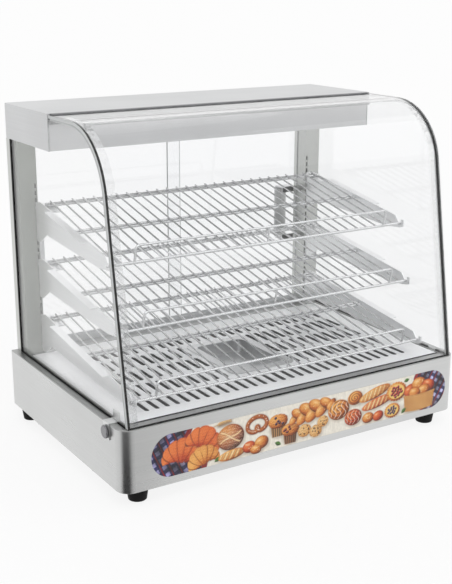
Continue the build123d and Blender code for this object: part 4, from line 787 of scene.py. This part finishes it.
# flat letters made a mesh, then laid on the rear panel with their tops up and their fronts to the rear
def panelLetters(name, words, size, places, mat):
    points, faces, start = [], [], 0
    for word, (x, z) in zip(words, places):
        curve = bpy.data.curves.new(name + word, "FONT")
        curve.body, curve.size, curve.extrude = word, size, dial["proud"] / 2
        curve.align_x, curve.align_y = "CENTER", "CENTER"
        holder = bpy.data.objects.new(name + word, curve)
        mesh = bpy.data.meshes.new_from_object(holder)
        flat = np.empty(len(mesh.vertices) * 3)
        mesh.vertices.foreach_get("co", flat)
        flat = flat.reshape(-1, 3)
        laid = np.stack([x - flat[:, 0], panelFace + dial["proud"] / 2 + flat[:, 2], z + flat[:, 1]], axis=-1)
        points.append(laid)
        faces += [[start + v for v in poly.vertices] for poly in mesh.polygons]
        start += len(flat)
        bpy.data.objects.remove(holder)
        bpy.data.meshes.remove(mesh)
    return makePiece(name, np.concatenate(points), faces, mat, "case")


numberAngles = np.radians(np.linspace(dial["start"], dial["start"] + dial["sweep"], len(dial["numbers"])))
numberPlaces = [(dial["middle"][0] - dial["lettersAt"] * math.sin(a),
                 dial["middle"][1] + dial["lettersAt"] * math.cos(a)) for a in numberAngles]
panelLetters("dial_numbers", dial["numbers"], dial["letters"], numberPlaces, mats["markPaint"])
switchMarks = {"at": (0.178, 0.13), "rise": 0.0185, "letters": 0.006}
switchPlaces = [(x, dial["middle"][1] + side * switchMarks["rise"]) for side in (1, -1) for x in switchMarks["at"]]
panelLetters("switch_marks", ("I", "I", "O", "O"), switchMarks["letters"], switchPlaces, mats["markPaint"])

# white pointer line along the top of the knob's grip
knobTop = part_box("thermostat_knob")[1][1]
pointer = {"half": 0.0006, "from": 0.004, "to": 0.0150, "proud": 0.0001}
pointerCorners = np.array([[-pointer["half"], pointer["from"], pointer["half"], pointer["to"]]])
pointerPoints, pointerFaces = panelBoxes(pointerCorners, np.zeros(1), pointer["proud"])
pointerPoints += np.array([dial["middle"][0], knobTop, dial["middle"][1]])
makePiece("knob_pointer", pointerPoints, pointerFaces, mats["markWhite"], "knob")
print("dial marked")

# knurled band round each thumb screw: a ring whose radius rises and falls with the turn
knurl = {"teeth": 40, "steps": 240, "deep": 0.0004, "radius": 0.0101, "rim": 0.0099,
         "depths": (0.0034, 0.0030, 0.0010, 0.0006)}
for side, body in ((-1, "left_screw"), (1, "right_screw")):
    lowHead, highHead = (np.array(corner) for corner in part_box(body.replace("_screw", "_thumb_screw")))
    headMiddle = (lowHead + highHead) / 2
    outerX = lowHead[0] if side < 0 else highHead[0]
    turn = np.linspace(0, 2 * math.pi, knurl["steps"], endpoint=False)
    wave = knurl["radius"] + knurl["deep"] * np.abs(np.sin(turn * knurl["teeth"] / 2))
    depths, rim = np.array(knurl["depths"]), np.full(turn.shape, knurl["rim"])
    radii = np.stack([rim, wave, wave, rim])
    ring = np.stack([np.repeat((outerX - side * depths)[:, None], len(turn), axis=1),
                     headMiddle[1] + radii * np.cos(turn), headMiddle[2] + radii * np.sin(turn)], axis=-1)
    index = np.arange(4 * len(turn)).reshape(4, -1)
    nextTurn, nextRow = np.roll(index, -1, axis=1), np.roll(index, -1, axis=0)
    corner = np.roll(nextRow, -1, axis=1)
    bands = np.stack([index, nextTurn, corner, nextRow] if side > 0 else [index, nextRow, corner, nextTurn], axis=-1)
    makePiece(body + "_knurl", ring.reshape(-1, 3), bands.reshape(-1, 4), mats["thumbSteel"], body)
print("thumb screws knurled")


# black bead along the deck's front rim, as painted shade for the gap between the deck and the base's ledge, in the
# seals' rubber finish:
# a crowned profile, swept from the left end to the right, that laps over the rim and stands a little proud of it
bead = {"lap": 0.0024, "gap": 0.0022, "proud": 0.0009, "clear": 0.00006, "turns": 12, "stations": 24}
lowDeck, highDeck = (np.array(corner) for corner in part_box("deck_plate"))
beadBack, beadFront = lowDeck[1] + bead["lap"], lowDeck[1] - bead["gap"] + bead["clear"]
arc = np.linspace(0, math.pi, bead["turns"])
acrossBead = (beadBack + beadFront) / 2 + (beadBack - beadFront) / 2 * np.cos(arc)
upBead = highDeck[2] + bead["clear"] + (bead["proud"] - bead["clear"]) * np.sin(arc) ** 0.5
alongBead = np.linspace(lowDeck[0] + bead["clear"], highDeck[0] - bead["clear"], bead["stations"])
beadPoints = np.stack([np.repeat(alongBead, bead["turns"]), np.tile(acrossBead, bead["stations"]),
                       np.tile(upBead, bead["stations"])], axis=-1)
ringIndex = np.arange(bead["stations"] * bead["turns"]).reshape(bead["stations"], bead["turns"])
nextPoint, nextRing = np.roll(ringIndex, -1, axis=1), np.roll(ringIndex, -1, axis=0)
nextBoth = np.roll(nextRing, -1, axis=1)
beadFaces = np.stack([nextPoint[:-1], nextBoth[:-1], nextRing[:-1], ringIndex[:-1]], axis=-1).reshape(-1, 4).tolist()
beadFaces += [ringIndex[0][::-1].tolist(), ringIndex[-1].tolist()]
makePiece("deck_gasket", beadPoints, beadFaces, mats["sealRubber"], "case")
print("deck gap_shade_bead made")


# pale floor and soft suns, on a background that is white to the eye and to clear and mirroring surfaces
studio = {"floor": (0.93, 0.93, 0.93), "glow": 0.85, "world": 0.52, "half": 40.0,
          "suns": (("keySun", (-0.45, -0.75, 1.0), 1.0, 50), ("fillSun", (0.9, -0.5, 0.8), 0.55, 60),
                   ("backSun", (0.1, 0.9, 0.9), 0.35, 60))}
h = studio["half"]
floorMesh = bpy.data.meshes.new("floor")
floorMesh.from_pydata([(-h, -h, 0), (h, -h, 0), (h, h, 0), (-h, h, 0)], [], [(0, 1, 2, 3)])
floor = bpy.data.objects.new("floor", floorMesh)
bpy.context.scene.collection.objects.link(floor)
floorMat, floorTree, floorShader = newMaterial("floorPaper")
floorTint = mixColour(floorTree, noiseAt(floorTree, (1, 1, 1), 3.0), tone(studio["floor"], 0.995), studio["floor"])
floorTree.links.new(floorTint, floorShader.inputs["Base Color"])
floorShader.inputs["Roughness"].default_value = 0.9
floorShader.inputs["Specular IOR Level"].default_value = 0.0
paper = node(floorTree, "ShaderNodeEmission", Strength=1.0)
path = node(floorTree, "ShaderNodeLightPath")
seen = math2(floorTree, "MAXIMUM", path.outputs["Is Camera Ray"],
             math2(floorTree, "MAXIMUM", path.outputs["Is Glossy Ray"], path.outputs["Is Transmission Ray"]))
floorMix = node(floorTree, "ShaderNodeMixShader")
floorTree.links.new(math2(floorTree, "MULTIPLY", seen, studio["glow"]), floorMix.inputs[0])
floorTree.links.new(floorShader.outputs[0], floorMix.inputs[1])
floorTree.links.new(paper.outputs[0], floorMix.inputs[2])
floorTree.links.new(floorMix.outputs[0], floorTree.nodes["Material Output"].inputs["Surface"])
floorMesh.materials.append(floorMat)

world = bpy.data.worlds.new("studioWorld")
bpy.context.scene.world = world
world.use_nodes = True
tree = world.node_tree
plain = tree.nodes["Background"]
plain.inputs["Color"].default_value = (1.0, 1.0, 1.0, 1.0)
plain.inputs["Strength"].default_value = studio["world"]
white = node(tree, "ShaderNodeBackground", Color=(1.0, 1.0, 1.0, 1.0))
path = node(tree, "ShaderNodeLightPath")
seen = math2(tree, "MAXIMUM", path.outputs["Is Camera Ray"],
             math2(tree, "MAXIMUM", path.outputs["Is Glossy Ray"], path.outputs["Is Transmission Ray"]))
mixed = node(tree, "ShaderNodeMixShader")
tree.links.new(seen, mixed.inputs[0])
tree.links.new(plain.outputs[0], mixed.inputs[1])
tree.links.new(white.outputs[0], mixed.inputs[2])
tree.links.new(mixed.outputs[0], tree.nodes["World Output"].inputs["Surface"])

for name, toward, strength, wide in studio["suns"]:
    sunData = bpy.data.lights.new(name, "SUN")
    sunData.energy = strength
    sunData.angle = math.radians(wide)
    sun = bpy.data.objects.new(name, sunData)
    flat = math.hypot(toward[0], toward[1])
    sun.location = toward
    sun.rotation_euler = (math.atan2(flat, toward[2]), 0, math.atan2(toward[1], toward[0]) + math.pi / 2)
    sun.visible_glossy = False
    bpy.context.scene.collection.objects.link(sun)

# dark card on the floor for the steel alone to mirror: part of a ring round the front left corner, whose colour
# attribute holds how dense it is along its turn
card = {"middle": (-0.31, -0.21), "near": 0.03, "far": 0.62, "steps": 60, "dark": (0.006, 0.006, 0.007),
        "turns": (100, 150, 178, 192, 201, 248, 262, 280, 300, 340),
        "dense": (0.0, 0.10, 0.16, 0.5, 1.0, 1.0, 0.60, 0.32, 0.26, 0.0)}
cardTurn = np.linspace(card["turns"][0], card["turns"][-1], card["steps"])
density = np.interp(cardTurn, card["turns"], card["dense"])
cardRing = np.stack([np.cos(np.radians(cardTurn)), np.sin(np.radians(cardTurn)), np.zeros(card["steps"])], axis=-1)
cardPoints = np.concatenate([cardRing * card[end] for end in ("near", "far")]) + np.array([*card["middle"], 0.001])
cardFaces = [(i, i + 1, i + 1 + card["steps"], i + card["steps"]) for i in range(card["steps"] - 1)]
cardMesh = bpy.data.meshes.new("cornerCard")
cardMesh.from_pydata(cardPoints.tolist(), [], cardFaces)
cardDensity = cardMesh.attributes.new("cardDensity", "FLOAT", "POINT")
cardDensity.data.foreach_set("value", np.tile(density, 2))
cardMat, cardTree, cardShader = newMaterial("cardBlack")
cardShader.inputs["Base Color"].default_value = (*card["dark"], 1.0)
cardShader.inputs["Roughness"].default_value = 0.9
dense = node(cardTree, "ShaderNodeAttribute", attribute_name="cardDensity")
cardTree.links.new(dense.outputs["Fac"], cardShader.inputs["Alpha"])
cardMesh.materials.append(cardMat)
cornerCard = bpy.data.objects.new("cornerCard", cardMesh)
bpy.context.scene.collection.objects.link(cornerCard)
for ray in ("visible_camera", "visible_diffuse", "visible_transmission", "visible_shadow", "visible_volume_scatter"):
    setattr(cornerCard, ray, False)
print("studio ready")
